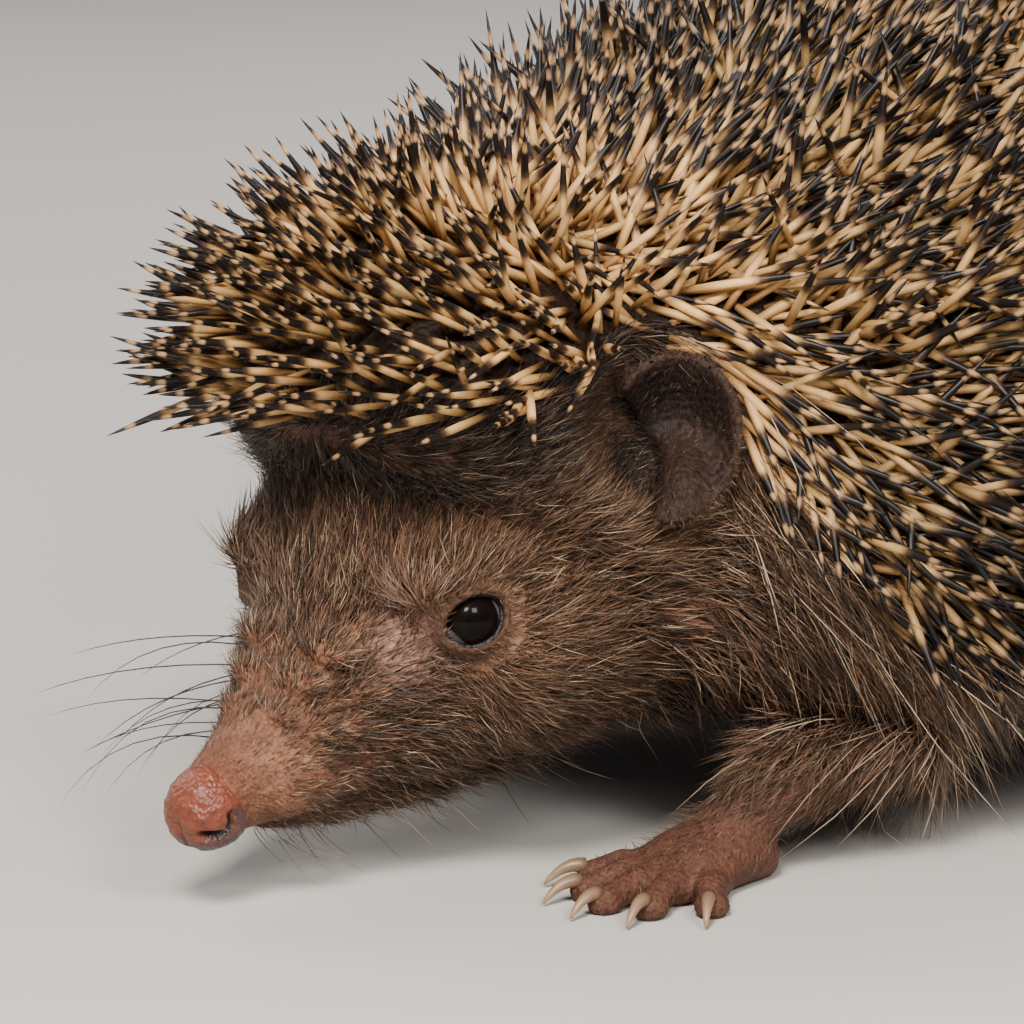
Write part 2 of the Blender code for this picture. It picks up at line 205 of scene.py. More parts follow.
# %% The skull, the jaw and the lumps on them
SKULL_ROWS = (
    (0.5, 0.2, 3.3, 3.4, 3.0),
    (7.0, 0.0, 5.2, 5.4, 4.5),
    (13.5, 0.0, 7.8, 8.4, 6.0),
    (20.0, 0.0, 11.2, 13.0, 7.4),
    (26.0, 0.0, 15.0, 19.4, 8.3),
    (33.0, 0.0, 18.2, 24.6, 10.3),
    (41.0, 0.0, 19.3, 26.4, 12.0),
    (49.0, 0.0, 19.0, 26.4, 14.6),
    (57.0, 0.0, 17.6, 25.4, 16.6),
)
JAW_ROWS = (
    (5.0, -4.4, 0.5, 0.3, 0.3),
    (6.4, -4.6, 1.8, 1.0, 1.0),
    (10.0, -5.1, 3.2, 2.1, 2.1),
    (15.0, -5.8, 5.0, 3.3, 3.4),
    (22.0, -6.8, 7.4, 3.6, 3.7),
    (29.0, -7.9, 9.5, 3.8, 3.9),
    (40.0, -9.0, 10.8, 4.2, 4.2),
    (50.0, -8.4, 8.0, 4.0, 4.0),
)
# Lumps in the head's axes: centre, radii and how softly each one joins.
HEAD_LUMPS = (
    ((9.5, 4.0, -0.8), (5.4, 2.5, 3.0), 1.6),  # whisker pad
    ((9.2, 2.4, 5.3), (1.3, 2.0, 1.3), 0.8),  # swellings on the bridge of the muzzle
    ((12.2, 3.2, 6.9), (1.4, 2.2, 1.4), 0.9),
    ((15.6, 4.2, 8.6), (1.6, 2.4, 1.4), 1.2),
    ((11.4, 5.4, 3.4), (1.5, 1.3, 1.4), 1.0),
    ((14.2, 6.9, 2.0), (1.4, 1.2, 1.3), 1.0),
    ((15.8, 7.2, 5.0), (1.6, 1.4, 1.5), 1.2),
    ((10.2, 5.5, 0.2), (1.2, 1.2, 1.2), 0.8),
    ((27.0, 11.6, 12.2), (6.0, 3.6, 2.2), 4.0),  # brow
    ((33.0, 15.0, 1.5), (9.0, 5.0, 6.0), 4.0),  # cheek
)
MOUTH_LINE = ((4.0, 1.8, -4.2, 0.2), (9.0, 3.9, -5.0, 0.3), (16.0, 6.2, -5.6, 0.35), (23.0, 9.0, -5.2, 0.2))
skull = loft(SKULL_ROWS, 2.25, 2.25)
jaw = loft(JAW_ROWS)

# %% The eye socket and its lids
GAZE = unit(head_vector(-0.36, 0.90, 0.22))  # where the right eye looks
LID_LENGTH = unit(np.cross(HEAD_UP, GAZE))  # from the rear corner to the front one
LID_HEIGHT = np.cross(GAZE, LID_LENGTH)
OPENING = (2.95, 2.35)  # half length and half height of the opening between the lids
LID_WALL = 0.75
LID_FRONT = 0.4  # nothing nearer to the ball's middle than this is opened
BALL_GAP = 0.06


def mirrored(points):
    """Points moved to the animal's right side."""
    return points * (1, 0, 1) + np.abs(points) * (0, 1, 0)


def reach_from(points, place):
    """How far each point lies from a place of the right side, or from the same one on the left."""
    return np.linalg.norm(mirrored(points) - place, axis=1)


def head_flesh(points):
    """Distance to the skin of the head, for points of the right side."""
    place = to_head(points)
    flesh = skull(place)
    for centre, radii, softness in HEAD_LUMPS:
        flesh = join(flesh, blob(place, centre, radii), softness)
    flesh = join(flesh, jaw(place), 0.5)
    flesh = carve(flesh, limb(place, MOUTH_LINE), 0.5)
    away = points - EYE
    reach = np.linalg.norm(away, axis=1)
    flesh = join(flesh, reach - EYE_RADIUS - LID_WALL, 1.4)
    ahead, long, high = away @ GAZE, away @ LID_LENGTH, away @ LID_HEIGHT
    opening = (np.hypot(long / OPENING[0], high / OPENING[1]) - 1) * OPENING[1]
    flesh = carve(flesh, np.maximum(opening, LID_FRONT - ahead), 0.3)
    return carve(flesh, reach - EYE_RADIUS - BALL_GAP, 0.15)


# %% [markdown]
# ## The ears
#
# An ear is a thin cup of skin that faces forward and outward. It is written as a sheet: a bowl-shaped
# middle surface with a thickness, kept inside a rounded outline. A swelling in the lower half makes the
# fold that catches the light, and a notch on the front edge leaves the dark way in to the ear.

# %% A cupped sheet of skin
EAR_FACING = unit(np.array((-0.62, 0.76, 0.16)))
EAR_REAR = unit(np.cross(EAR_FACING, (0.22, 0.10, 1.0)))
EAR_UP = np.cross(EAR_REAR, EAR_FACING)
EAR_HALF_HEIGHT = 7.9
EAR_HALF_WIDTH = 6.3
EAR_DEPTH = 5.2
EAR_WALL = 1.15
EAR_CENTRE = EAR + EAR_FACING * 1.9
HOLLOW = (EAR_CENTRE + EAR_FACING * 4.6, 9.2)  # centre and radius of the hollow that the ear stands in
FOLD_PLACE = (-3.6, 1.6)  # up and rearward from the ear's centre
FOLD_RADII = (3.6, 2.6)
FOLD_HEIGHT = 3.9
LIP_FROM, LIP_TURN = 0.55, 4.8  # where the tip starts to turn back, and how strongly


def ear_flesh(points):
    """Distance to the right ear."""
    away = points - EAR_CENTRE
    up, rear, out = away @ EAR_UP, away @ EAR_REAR, away @ EAR_FACING
    high, wide = up / EAR_HALF_HEIGHT, rear / EAR_HALF_WIDTH
    ring = np.hypot(high, wide)
    fold_up, fold_rear = up - FOLD_PLACE[0], rear - FOLD_PLACE[1]
    fold = FOLD_HEIGHT * np.exp(-((fold_up / FOLD_RADII[0]) ** 2) - (fold_rear / FOLD_RADII[1]) ** 2)
    lip = np.clip(high - LIP_FROM, 0, 1)
    bowl = EAR_DEPTH * (ring**2 - 0.9) + fold - LIP_TURN * lip**2
    up_slope = (2 * EAR_DEPTH * high - 2 * LIP_TURN * lip) / EAR_HALF_HEIGHT
    up_slope -= fold * 2 * fold_up / FOLD_RADII[0] ** 2
    rear_slope = 2 * EAR_DEPTH * wide / EAR_HALF_WIDTH - fold * 2 * fold_rear / FOLD_RADII[1] ** 2
    sheet = (out - bowl) / np.sqrt(1 + up_slope**2 + rear_slope**2)
    outline = (ring - 1) * EAR_HALF_WIDTH + EAR_WALL / 2
    notch = 0.1 - 1.2 * np.maximum(up + 1.2, 0) - rear
    outline = -join(-outline, -notch, 1.0)
    shell = np.hypot(sheet, np.maximum(outline, 0)) - EAR_WALL / 2
    inner, deep = EAR_CENTRE - EAR_FACING * 7.4 - EAR_UP, EAR_CENTRE - EAR_FACING * 11
    root = limb(points, ((*inner, 2.9), (*deep, 5.0)))
    return join(shell, root, 1.2)


# %% [markdown]
# ## Trunk, legs, feet and tail
#
# Under its quills a hedgehog is a low loaf. The trunk is one loft along the body, and the first rows are
# the pad of muscle that carries the visor. Legs are chains of round bones. A foot is a small loft with
# five toes, each ending in a pad, and everything is cut off flat at the floor.

# %% The trunk and the tail
TRUNK_ROWS = (
    (-90.5, 48.5, 1.5, 0.8, 0.8),
    (-89, 48.2, 7.0, 3.0, 3.6),
    (-85, 48.0, 14.0, 6.5, 8.0),
    (-76, 46.0, 20.0, 13.0, 14.0),
    (-62, 37.0, 25.0, 23.0, 20.0),
    (-48, 28.0, 36.0, 35.0, 15.0),
    (-34, 24.0, 42.5, 43.0, 12.2),
    (-10, 22.0, 47.5, 52.5, 10.5),
    (14, 22.0, 49.5, 58.5, 10.5),
    (38, 22.0, 49.0, 56.5, 10.5),
    (60, 23.0, 43.5, 48.0, 11.0),
    (76, 25.0, 33.0, 34.0, 11.0),
    (86, 28.0, 20.0, 20.0, 9.0),
    (91, 30.0, 8.0, 8.0, 5.0),
    (93, 30.0, 1.5, 1.5, 1.0),
)
TAIL_JOINTS = ((80, 0, 28, 3.9), (91, 0, 22, 3.2), (99, 0, 15.5, 2.2), (103.6, 0, 10.8, 0.9))
trunk = loft(TRUNK_ROWS, 2.15, 2.9)

# %% Legs and feet
# Joints of the left side's legs less the fur, the length, half width and height of each palm, and the
# spread and length of its toes from the inner to the outer one.
LEG_JOINTS = {
    "fore": ((-40, 30.0, 12.0, 5.0), (-46, 29.5, 10.5, 4.6), (-54, 27.8, 8.2, 3.9), (-59.5, 26, 4.0, 2.7)),
    "hind": ((46, 33.0, 17.0, 7.0), (54, 33.8, 13.5, 6.8), (61.5, 33.3, 9.0, 4.8), (63.5, 32.5, 4.2, 3.0)),
}
PALMS = {"fore": (14.5, 5.1, 5.6), "hind": (27.0, 5.5, 6.0)}
TOES = {
    "fore": ((-36, 4.2), (-17, 6.6), (-1, 7.4), (16, 6.8), (38, 4.4)),
    "hind": ((-30, 4.0), (-15, 6.8), (-1, 7.6), (13, 7.0), (28, 4.6)),
}
# Shares of a palm's length, half width and height from the heel to the toes.
PALM_SHAPE = ((-0.02, 0.48, 0.30), (0.10, 0.80, 0.44), (0.35, 0.94, 0.56), (0.72, 1.0, 0.46),
              (1.0, 0.80, 0.30))
ANKLE_X = {"fore": -60.0, "hind": 64.0}
HEEL = 5.0  # from the ankle back to the heel
TOE_SET = 3.2  # from the front of the palm back to the roots of the toes
SOLE_CUT = 0.45
TOE_RADIUS = 1.6
# How far each leg stands behind its place in the tables.
STEP = {("fore", "left"): 0.0, ("fore", "right"): 9.0, ("hind", "left"): 0.0, ("hind", "right"): -9.0}


def leg_places(pair, side):
    """Joints of one leg, its heel and the toe chains, in the frame."""
    step, sign = STEP[pair, side], SIGNS[side]
    joints = [(x + step, sign * y, z, radius) for x, y, z, radius in LEG_JOINTS[pair]]
    heel = np.array((ANKLE_X[pair] + step + HEEL, joints[-1][1]))
    length, half, _ = PALMS[pair]
    chains = []
    for spread, reach in TOES[pair]:
        angle = math.radians(spread)
        ahead = np.array((-math.cos(angle), sign * math.sin(angle), 0.0))
        beside = sign * half * 1.08 * math.sin(angle)
        root_x = heel[0] - length + TOE_SET + abs(spread) * 0.045
        root = np.array((root_x, heel[1] + beside, TOE_RADIUS - SOLE_CUT))
        knuckle = root + ahead * (1.6 + reach * 0.45) + (0, 0, 0.75)
        pad = root + ahead * (2.6 + reach * 0.93) + (0, 0, -0.1)
        chains.append(((*root, TOE_RADIUS), (*knuckle, TOE_RADIUS * 0.92), (*pad, 1.25)))
    return joints, heel, chains


def leg_flesh(pair, side):
    """Distance function of one leg with its foot."""
    joints, heel, chains = leg_places(pair, side)
    length, half, height = PALMS[pair]
    palm_rows = []
    for ahead, wide, tall in PALM_SHAPE:
        palm_rows.append((length * ahead, height * tall, half * wide, height * tall, height * tall))
    palm = loft(palm_rows, 2.3, 2.3)

    def distance(points):
        """Distance to the bones, the palm and the toes, joined."""
        local = np.stack((heel[0] - points[:, 0], points[:, 1] - heel[1], points[:, 2] + SOLE_CUT), axis=1)
        flesh = join(limb(points, joints), palm(local), 2.0)
        for chain in chains:
            flesh = join(flesh, limb(points, chain), 0.8)
            flesh = join(flesh, blob(points, np.array(chain[-1][:3]) + (0.5, 0, -0.1), (1.7, 1.5, 1.3)), 0.5)
        return flesh

    return distance


# %% [markdown]
# ## One skin over all of it
#
# The forms are gathered in a list, each with the box it can reach, so that a point is only measured
# against what lies near it. The grid is fine round the head and the feet and coarse on the back, which
# the quills cover. A surface net puts one point in each cell that the skin passes through and one face
# across each grid edge that it crosses, and every point is then slid along the slope of the distance
# until it lies on the skin.

# %% The list of forms
FAR = 6.0  # distances are only worked out to here
HOLLOW_REACH, EAR_REACH = 14, 11


def ear_hollow(points):
    """Distance to the hollow round each ear, which is carved instead of joined."""
    return np.linalg.norm(mirrored(points) - HOLLOW[0], axis=1) - HOLLOW[1]


legs = [(leg_flesh(pair, side), pair, side) for pair in ("fore", "hind") for side in SIGNS]
FORMS = [
    (trunk, (-89, -50, 10), (91, 50, 82), 4.0),
    (lambda p: head_flesh(mirrored(p)), (-104, -23, 1), (-34, 23, 62), 4.0),
    (ear_hollow, EAR * (1, -1, 1) - HOLLOW_REACH, EAR + HOLLOW_REACH, 3.0),
    (lambda p: ear_flesh(mirrored(p)), EAR * (1, -1, 1) - EAR_REACH, EAR + EAR_REACH, 1.2),
    (lambda p: limb(p, TAIL_JOINTS), (78, -4, 9), (105, 4, 33), 3.0),
]
for distance, pair, side in legs:
    joints, heel, chains = leg_places(pair, side)
    corners = np.array([*joints, *[place for chain in chains for place in chain]])
    low = (corners[:, :3] - corners[:, 3:]).min(0) - (0, 4, 0)
    high = (corners[:, :3] + corners[:, 3:]).max(0) + (8, 4, 0)
    FORMS.append((distance, low, high, 3.0))


def flesh_at(points):
    """Distance from each point to the skin."""
    flesh = np.full(len(points), FAR)
    for distance, low, high, softness in FORMS:
        near = np.all((points > np.array(low) - FAR) & (points < np.array(high) + FAR), axis=1)
        combine = carve if distance is ear_hollow else join
        flesh[near] = combine(flesh[near], distance(points[near]), softness)
    return carve(flesh, points[:, 2], 0.3)


# %% The grid and the net
def stops(*pairs):
    """Grid coordinates whose spacing runs from one (place, spacing) stop to the next."""
    places, steps = np.array(pairs, float).T
    values = [places[0]]
    while values[-1] < places[-1]:
        values.append(values[-1] + np.interp(values[-1], places, steps))
    return np.array(values)


GRID_X = stops((-107, 0.6), (-86, 0.64), (-83, 0.4), (-75.5, 0.4), (-72, 0.6), (-57, 0.62), (-48, 2.6),
               (28, 2.8), (34, 1.05), (70, 1.05), (76, 2.4), (92, 2.2), (108, 1.4))
HALF_Y = stops((0, 0.6), (9, 0.55), (11, 0.4), (16.5, 0.4), (19, 0.62), (30, 0.66), (38, 1.2), (44, 2.4),
               (62, 2.4))
GRID_Y = np.concatenate((-HALF_Y[:0:-1], HALF_Y))
GRID_Z = stops((-1.2, 0.45), (6, 0.6), (21, 0.6), (23, 0.4), (29, 0.4), (31, 0.62), (52, 0.65), (58, 1.8),
               (88, 2.2))


def measured(xs, ys, zs):
    """Distances on the whole grid, each form read only where it reaches."""
    values = np.full((len(xs), len(ys), len(zs)), FAR, np.float32)
    for distance, low, high, softness in FORMS:
        cut = []
        for axis, least, most in zip((xs, ys, zs), low, high):
            cut.append(slice(np.searchsorted(axis, least - FAR), np.searchsorted(axis, most + FAR)))
        block = np.stack(np.meshgrid(xs[cut[0]], ys[cut[1]], zs[cut[2]], indexing="ij"), axis=-1)
        part = distance(block.reshape(-1, 3)).reshape(block.shape[:3])
        combine = carve if distance is ear_hollow else join
        values[cut[0], cut[1], cut[2]] = combine(values[cut[0], cut[1], cut[2]], part, softness)
    return carve(values, zs[None, None, :], 0.3)


def surface_net(values, axes):
    """Points and four-sided faces of the surface at zero."""
    inside = values < 0
    shape = np.array(values.shape) - 1
    count = np.zeros(shape, np.int8)
    corners = [(i, j, k) for i in (0, 1) for j in (0, 1) for k in (0, 1)]
    for i, j, k in corners:
        count += inside[i : i + shape[0], j : j + shape[1], k : k + shape[2]]
    cells = np.argwhere((count > 0) & (count < 8))
    number = np.full(shape, -1, np.int64)
    number[tuple(cells.T)] = np.arange(len(cells))
    total, crossings = np.zeros((len(cells), 3)), np.zeros(len(cells))
    for corner in corners:
        for axis in range(3):
            if corner[axis]:
                continue
            first = cells + np.array(corner)
            second = first.copy()
            second[:, axis] += 1
            a, b = values[tuple(first.T)], values[tuple(second.T)]
            crossed = (a < 0) != (b < 0)
            share = np.where(crossed, a / np.where(crossed, a - b, 1), 0)
            start = np.stack([axes[n][first[:, n]] for n in range(3)], axis=1)
            end = np.stack([axes[n][second[:, n]] for n in range(3)], axis=1)
            total += np.where(crossed[:, None], start + (end - start) * share[:, None], 0)
            crossings += crossed
    points = total / crossings[:, None]
    faces = []
    for axis in range(3):
        low = np.take(inside, range(values.shape[axis] - 1), axis)
        high = np.take(inside, range(1, values.shape[axis]), axis)
        edges = np.argwhere(low != high)
        others = [n for n in range(3) if n != axis]
        keep = np.all([(edges[:, n] > 0) & (edges[:, n] < values.shape[n] - 1) for n in others], axis=0)
        edges = edges[keep]
        leaving = low[tuple(edges.T)]
        ring = []
        for back_a, back_b in ((1, 1), (0, 1), (0, 0), (1, 0)):
            cell = edges.copy()
            cell[:, others[0]] -= back_a
            cell[:, others[1]] -= back_b
            ring.append(number[tuple(cell.T)])
        quad = np.stack(ring, axis=1)
        flip = leaving if axis == 1 else ~leaving
        quad[flip] = quad[flip][:, ::-1]
        faces.append(quad)
    return points, np.concatenate(faces)


def slope_at(points, step=0.06):
    """Gradient of the distance, which points out of the skin."""
    sides = []
    for axis in range(3):
        shift = np.zeros(3)
        shift[axis] = step
        sides.append((flesh_at(points + shift) - flesh_at(points - shift)) / (2 * step))
    return np.stack(sides, axis=1)


SLIDES = 3
LEAST_SLOPE = 0.05
LONGEST_SLIDE = 0.5
grid_values = measured(GRID_X, GRID_Y, GRID_Z)
skin_points, skin_faces = surface_net(grid_values, (GRID_X, GRID_Y, GRID_Z))
for _ in range(SLIDES):
    slope = slope_at(skin_points)
    move = flesh_at(skin_points)[:, None] * slope / np.maximum((slope**2).sum(1), LEAST_SLOPE)[:, None]
    skin_points -= np.clip(move, -LONGEST_SLIDE, LONGEST_SLIDE)
skin_points[:, 2] = np.maximum(skin_points[:, 2], 0)
print("grid", grid_values.shape, "skin", len(skin_points), "points", len(skin_faces), "faces")

# %% [markdown]
# ## Where each coat grows
#
# Quills cover the crown, the back and the flanks down to an edge that runs from the visor over the ear
# and down behind it. Below the edge grows hair. The edge is a curve of height along the body, and the
# masks made from it steer the colours, the lengths and the density of both coats, so that skin, quills
# and hair all change at the same place.

# %% Masks on the skin
# Height of the edge along the body, as (x, z).
QUILL_EDGE = ((-95, 44.0), (-80, 45.2), (-76, 46.6), (-71, 49.0), (-64, 51.0), (-59, 43), (-54, 33),
              (-48, 24), (-34, 20), (60, 20), (80, 24), (93, 32))


def ramp(values, low, high):
    """0 below low, 1 above high and smooth between."""
    share = np.clip((values - low) / (high - low), 0, 1)
    return share * share * (3 - 2 * share)


def read_table(values, table):
    """Second column of a table of pairs, read between its rows at values of the first."""
    return np.interp(values, *np.array(table, float).T)


def above_edge(points):
    """Height of each point over the edge of the quills."""
    return points[:, 2] - read_table(points[:, 0], QUILL_EDGE)


def ear_distance(points):
    """Distance from each point to the nearer ear."""
    return ear_flesh(mirrored(points))


def limb_mask(points, top=14):
    """1 on the legs and feet up to the given height, 0 on the trunk."""
    nearest = np.min([leg[0](points) for leg in legs], axis=0)
    return ramp(0.9 - nearest, 0, 0.9) * ramp(top - points[:, 2], 0, 4)


WAVES = 5
WAVE_PACE = 2.2  # how fast a wave runs over one size, and what their sum is divided by


def wander(points, size, seed):
    """Smooth random vectors that change over about the given distance, the same for the same seed."""
    rng = np.random.default_rng(seed)
    result = np.zeros((len(points), 3))
    for _ in range(WAVES):
        wave = rng.normal(size=(3, 3)) * WAVE_PACE / size
        result += np.sin(points @ wave + rng.uniform(0, 6.3, 3))
    return result / WAVE_PACE


# %% Colours of the skin and the coat
PINK = np.array((0.150, 0.066, 0.038))
FLESH = np.array((0.245, 0.122, 0.072))
DUSK = np.array((0.080, 0.038, 0.022))
UNDER_QUILL_SHADE = np.array((0.013, 0.0060, 0.0032))
# The ear's dark cup is partly painted shade, and its pale lobe and edge partly painted light.
EAR_DARK_AND_SHADE = np.array((0.0080, 0.0040, 0.0027))
EAR_PALE_AND_LIT = np.array((0.018, 0.0088, 0.0058))
PAW_TONE_AND_SHADE = np.array((0.085, 0.036, 0.023))
CHIN = np.array((0.055, 0.024, 0.015))
LID_PALE = np.array((0.27, 0.155, 0.115))
NOSE_RED = np.array((0.135, 0.044, 0.024))
DOT_PALE = np.array((0.33, 0.20, 0.14))
HAIR_DARK = np.array((0.014, 0.0065, 0.0038))
HAIR_BROWN = np.array((0.255, 0.132, 0.070))
HAIR_PALE = np.array((0.62, 0.44, 0.28))
HAIR_LIMB = np.array((0.17, 0.10, 0.07))
GUARD_PALE = np.array((0.62, 0.47, 0.33))
# Tables along the head's axis s: the power that darkens hairs, and the share of pale ones.
HAIR_DEPTH = ((4, 2.2), (14, 1.8), (28, 1.25), (50, 1.6), (90, 1.4))
PALE_SHARE = ((4, 0.14), (20, 0.08), (50, 0.09), (70, 0.18), (120, 0.30))
TEAR_PLACE = EYE + head_vector(-6.8, -2.2, -0.3)  # pale skin before the eye
EAR_SHADE = EAR_CENTRE + (0, -4.0, -3.3)  # dark hollow under the front of the ear
# First whisker of each row on the right side, in the head's axes, and the way from one to the next.
WHISKER_ROWS = ((8.5, 5.4, 1.6), (11.0, 6.4, 3.2), (13.5, 7.6, 4.6), (16.5, 9.2, 6.4), (14.5, 8.0, 1.2))
WHISKER_STEP = np.array((1.7, 0.45, -0.3))
IN_A_ROW = 3
WHISKER_PLACES = [np.array(first) + WHISKER_STEP * k for first in WHISKER_ROWS for k in range(IN_A_ROW)]


def vectors(*parts):
    """One vector for each point from three parts, each an array or one number for all."""
    return np.stack(np.broadcast_arrays(*parts), axis=1)


def on_own_side(values, y):
    """Vectors worked out for the right side, turned over where y is on the left."""
    return values * vectors(1.0, np.sign(y), 1.0)


def toward(colours, target, share):
    """Colours or vectors moved toward the target, each by its own share."""
    return colours + (target - colours) * share[:, None]


def darker(colours, share):
    """Colours with a share of their light taken away."""
    return colours * (1 - share)[:, None]


def face_colour(points):
    """Linear colour of the skin with the markings of the face, and painted shade under the quills."""
    s, _, u = to_head(points).T
    colours = np.tile(DUSK, (len(points), 1))
    face = ramp(54 - s, 0, 14) * ramp(-above_edge(points), -1, 2)
    low = ramp(14 - u, 0, 9)
    colours = toward(colours, FLESH, face * (0.30 + 0.70 * low))
    colours = toward(colours, PINK, ramp(26 - s - 0.4 * np.maximum(u, 0), 0, 10) * 0.9)
    colours = darker(colours, -0.16 * wander(points, 3.2, 5)[:, 0])
    colours = toward(colours, NOSE_RED, ramp(4.6 - s + 0.25 * u, 0, 3.4) * ramp(u, -1.6, 0.6) * 0.7)
    for place in WHISKER_PLACES:  # pale dots where the whiskers are rooted
        dot = ramp(0.75 - reach_from(points, NOSE + place @ HEAD_AXES), 0, 0.45)
        colours = toward(colours, DOT_PALE, dot * 0.8)
    colours = toward(colours, CHIN, ramp(-u, 1.6, 4.6) * ramp(50 - s, 0, 10) * 0.85)
    # The skin under the quills is painted near black: painted shade between the quills.
    colours = toward(colours, UNDER_QUILL_SHADE, ramp(above_edge(points), -7, 2))
    from_eye = reach_from(points, EYE)
    colours = darker(colours, 0.45 * ramp(7.5 - from_eye, 0, 3.5))
    colours = toward(colours, LID_PALE, ramp(5.2 - reach_from(points, TEAR_PLACE), 0, 3.0) * 0.8)
    return darker(colours, 0.55 * ramp(4.4 - from_eye, 0, 0.8))


def ear_colour(points):
    """Linear colour of an ear at each point: dark in the cup, partly as painted shade, and paler on the lobe
    and the edge, partly as painted light.
    """
    away = mirrored(points) - EAR_CENTRE
    up, rear = away @ EAR_UP, away @ EAR_REAR
    ring = np.hypot(up / EAR_HALF_HEIGHT, rear / EAR_HALF_WIDTH)
    lobe = np.maximum(ramp(-up, -3.2, 0.5) * ramp(rear, -2, 1), ramp(ring, 0.80, 0.93))
    tone = toward(np.tile(EAR_DARK_AND_SHADE, (len(points), 1)), EAR_PALE_AND_LIT, lobe)
    return darker(tone, -0.9 * ramp(ring, 0.86, 1.0))


def skin_colour(points):
    """Linear colour of the skin at each point."""
    colours = face_colour(points)
    # Painted shade in the hollow round each ear.
    colours = darker(colours, 0.8 * ramp(HOLLOW[1] + 1.0 - reach_from(points, HOLLOW[0]), 0, 1.6))
    # Painted shadow under the front of each ear.
    colours = darker(colours, 0.8 * ramp(4.6 - reach_from(points, EAR_SHADE), 0, 2.2))
    ear = ramp(1.2 - ear_distance(points), 0, 1.0) * ramp(9.5 - reach_from(points, EAR_CENTRE), 0, 1)
    colours = toward(colours, ear_colour(points), ear)
    # Feet and lower legs are pinkish brown, darkened partly as painted shade.
    return toward(colours, PAW_TONE_AND_SHADE, limb_mask(points) * ramp(11 - points[:, 2], 0, 5))


def hair_colour(points, rng):
    """Linear colour of a hair that grows at each point."""
    s, y, u = to_head(points).T
    pick = rng.random(len(points))
    # Forehead hairs are darker, partly dark hair and partly painted shadow of the visor.
    depth = read_table(s, HAIR_DEPTH) + 1.9 * ramp(u, 14, 22) * ramp(60 - s, 0, 8)
    depth -= 0.55 * ramp(11 - reach_from(points, EYE), 0, 5)
    colours = toward(np.tile(HAIR_DARK, (len(points), 1)), HAIR_BROWN, pick**depth)
    glint = rng.random(len(points)) < read_table(s, PALE_SHARE)
    colours = toward(colours, HAIR_PALE, glint * rng.uniform(0.3, 1, len(points)))
    # Painted shadow on the hairs under the front of the ear.
    shaded = ramp(5.5 - reach_from(points, EAR_SHADE), 0, 3)
    colours = toward(colours, HAIR_DARK, shaded * (pick < 0.8) * 0.85)
    by_tear = ramp(6.5 - reach_from(points, TEAR_PLACE), 0, 3.5)
    colours = toward(colours, LID_PALE, by_tear * (pick > 0.3) * 0.65)
    # Painted shadow of the visor on the hairs under its edge.
    visor_shadow = ramp(above_edge(points), -14, -5) * ramp(-points[:, 0], 60, 68)
    mid_brow = ramp(15 - np.abs(y), 0, 7) * ramp(u, 9, 14) * ramp(s, 20, 28) * ramp(60 - s, 0, 8)
    colours = darker(darker(colours, 0.5 * visor_shadow), 0.34 * mid_brow)
    return toward(colours, HAIR_LIMB, limb_mask(points) * 0.5)


print("edge of the quills at the shoulder:", read_table(-34, QUILL_EDGE), "mm up")

# %% [markdown]
# ## Shader groups
#
# Effects that several materials share are node groups: one that breaks a colour up with noise, and one
# that gives the fine relief of skin. Their inputs are declared with `interface.new_socket`. A group
# gives only a colour or a normal, and each material keeps its own Principled BSDF.

# %% Helpers for node trees
def shader_group(name, inputs, output):
    """Empty group with named inputs (name, kind, value) and one output (name, kind)."""
    tree = bpy.data.node_groups.new(name, "ShaderNodeTree")
    for label, kind, value in inputs:
        tree.interface.new_socket(label, in_out="INPUT", socket_type=kind).default_value = value
    tree.interface.new_socket(output[0], in_out="OUTPUT", socket_type=output[1])
    return tree, tree.nodes.new("NodeGroupInput").outputs, tree.nodes.new("NodeGroupOutput").inputs[0]


def add(tree, kind, inputs=None, **settings):
    """New node; settings by attribute name, and links or values by socket in 'inputs'."""
    node = tree.nodes.new(kind)
    for key, value in settings.items():
        setattr(node, key, value)
    for key, value in (inputs or {}).items():
        if isinstance(value, bpy.types.NodeSocket):
            tree.links.new(value, node.inputs[key])
        else:
            node.inputs[key].default_value = value
    return node


def maths(tree, operation, *values):
    """Output of a Math node; each value is a number or a socket."""
    return add(tree, "ShaderNodeMath", dict(enumerate(values)), operation=operation).outputs[0]


def scaled(tree, colour, amount):
    """A colour or vector times a number."""
    return add(tree, "ShaderNodeVectorMath", {0: colour, "Scale": amount}, operation="SCALE").outputs[0]


def use_group(tree, group, **inputs):
    """Output of a shader group with the given inputs."""
    return add(tree, "ShaderNodeGroup", inputs, node_tree=group).outputs[0]


# %% Groups for mottling and relief
FINE = 5.0  # octaves of the noise that mottles, and of the one that raises the skin
ROUGH = 4.0

MOTTLE, given, result = shader_group(
    "mottle",
    (("Colour", "NodeSocketColor", (1, 1, 1, 1)), ("Size", "NodeSocketFloat", 0.002),
     ("Amount", "NodeSocketFloat", 0.3)),
    ("Colour", "NodeSocketColor"),
)
place = add(MOTTLE, "ShaderNodeTexCoord").outputs["Object"]
scale = maths(MOTTLE, "DIVIDE", 1.0, given["Size"])
noise = add(MOTTLE, "ShaderNodeTexNoise", {"Vector": place, "Scale": scale, "Detail": FINE})
centred = maths(MOTTLE, "MULTIPLY_ADD", noise.outputs[0], 2.0, -1.0)
swing = maths(MOTTLE, "MULTIPLY_ADD", centred, given["Amount"], 1.0)
MOTTLE.links.new(scaled(MOTTLE, given["Colour"], swing), result)

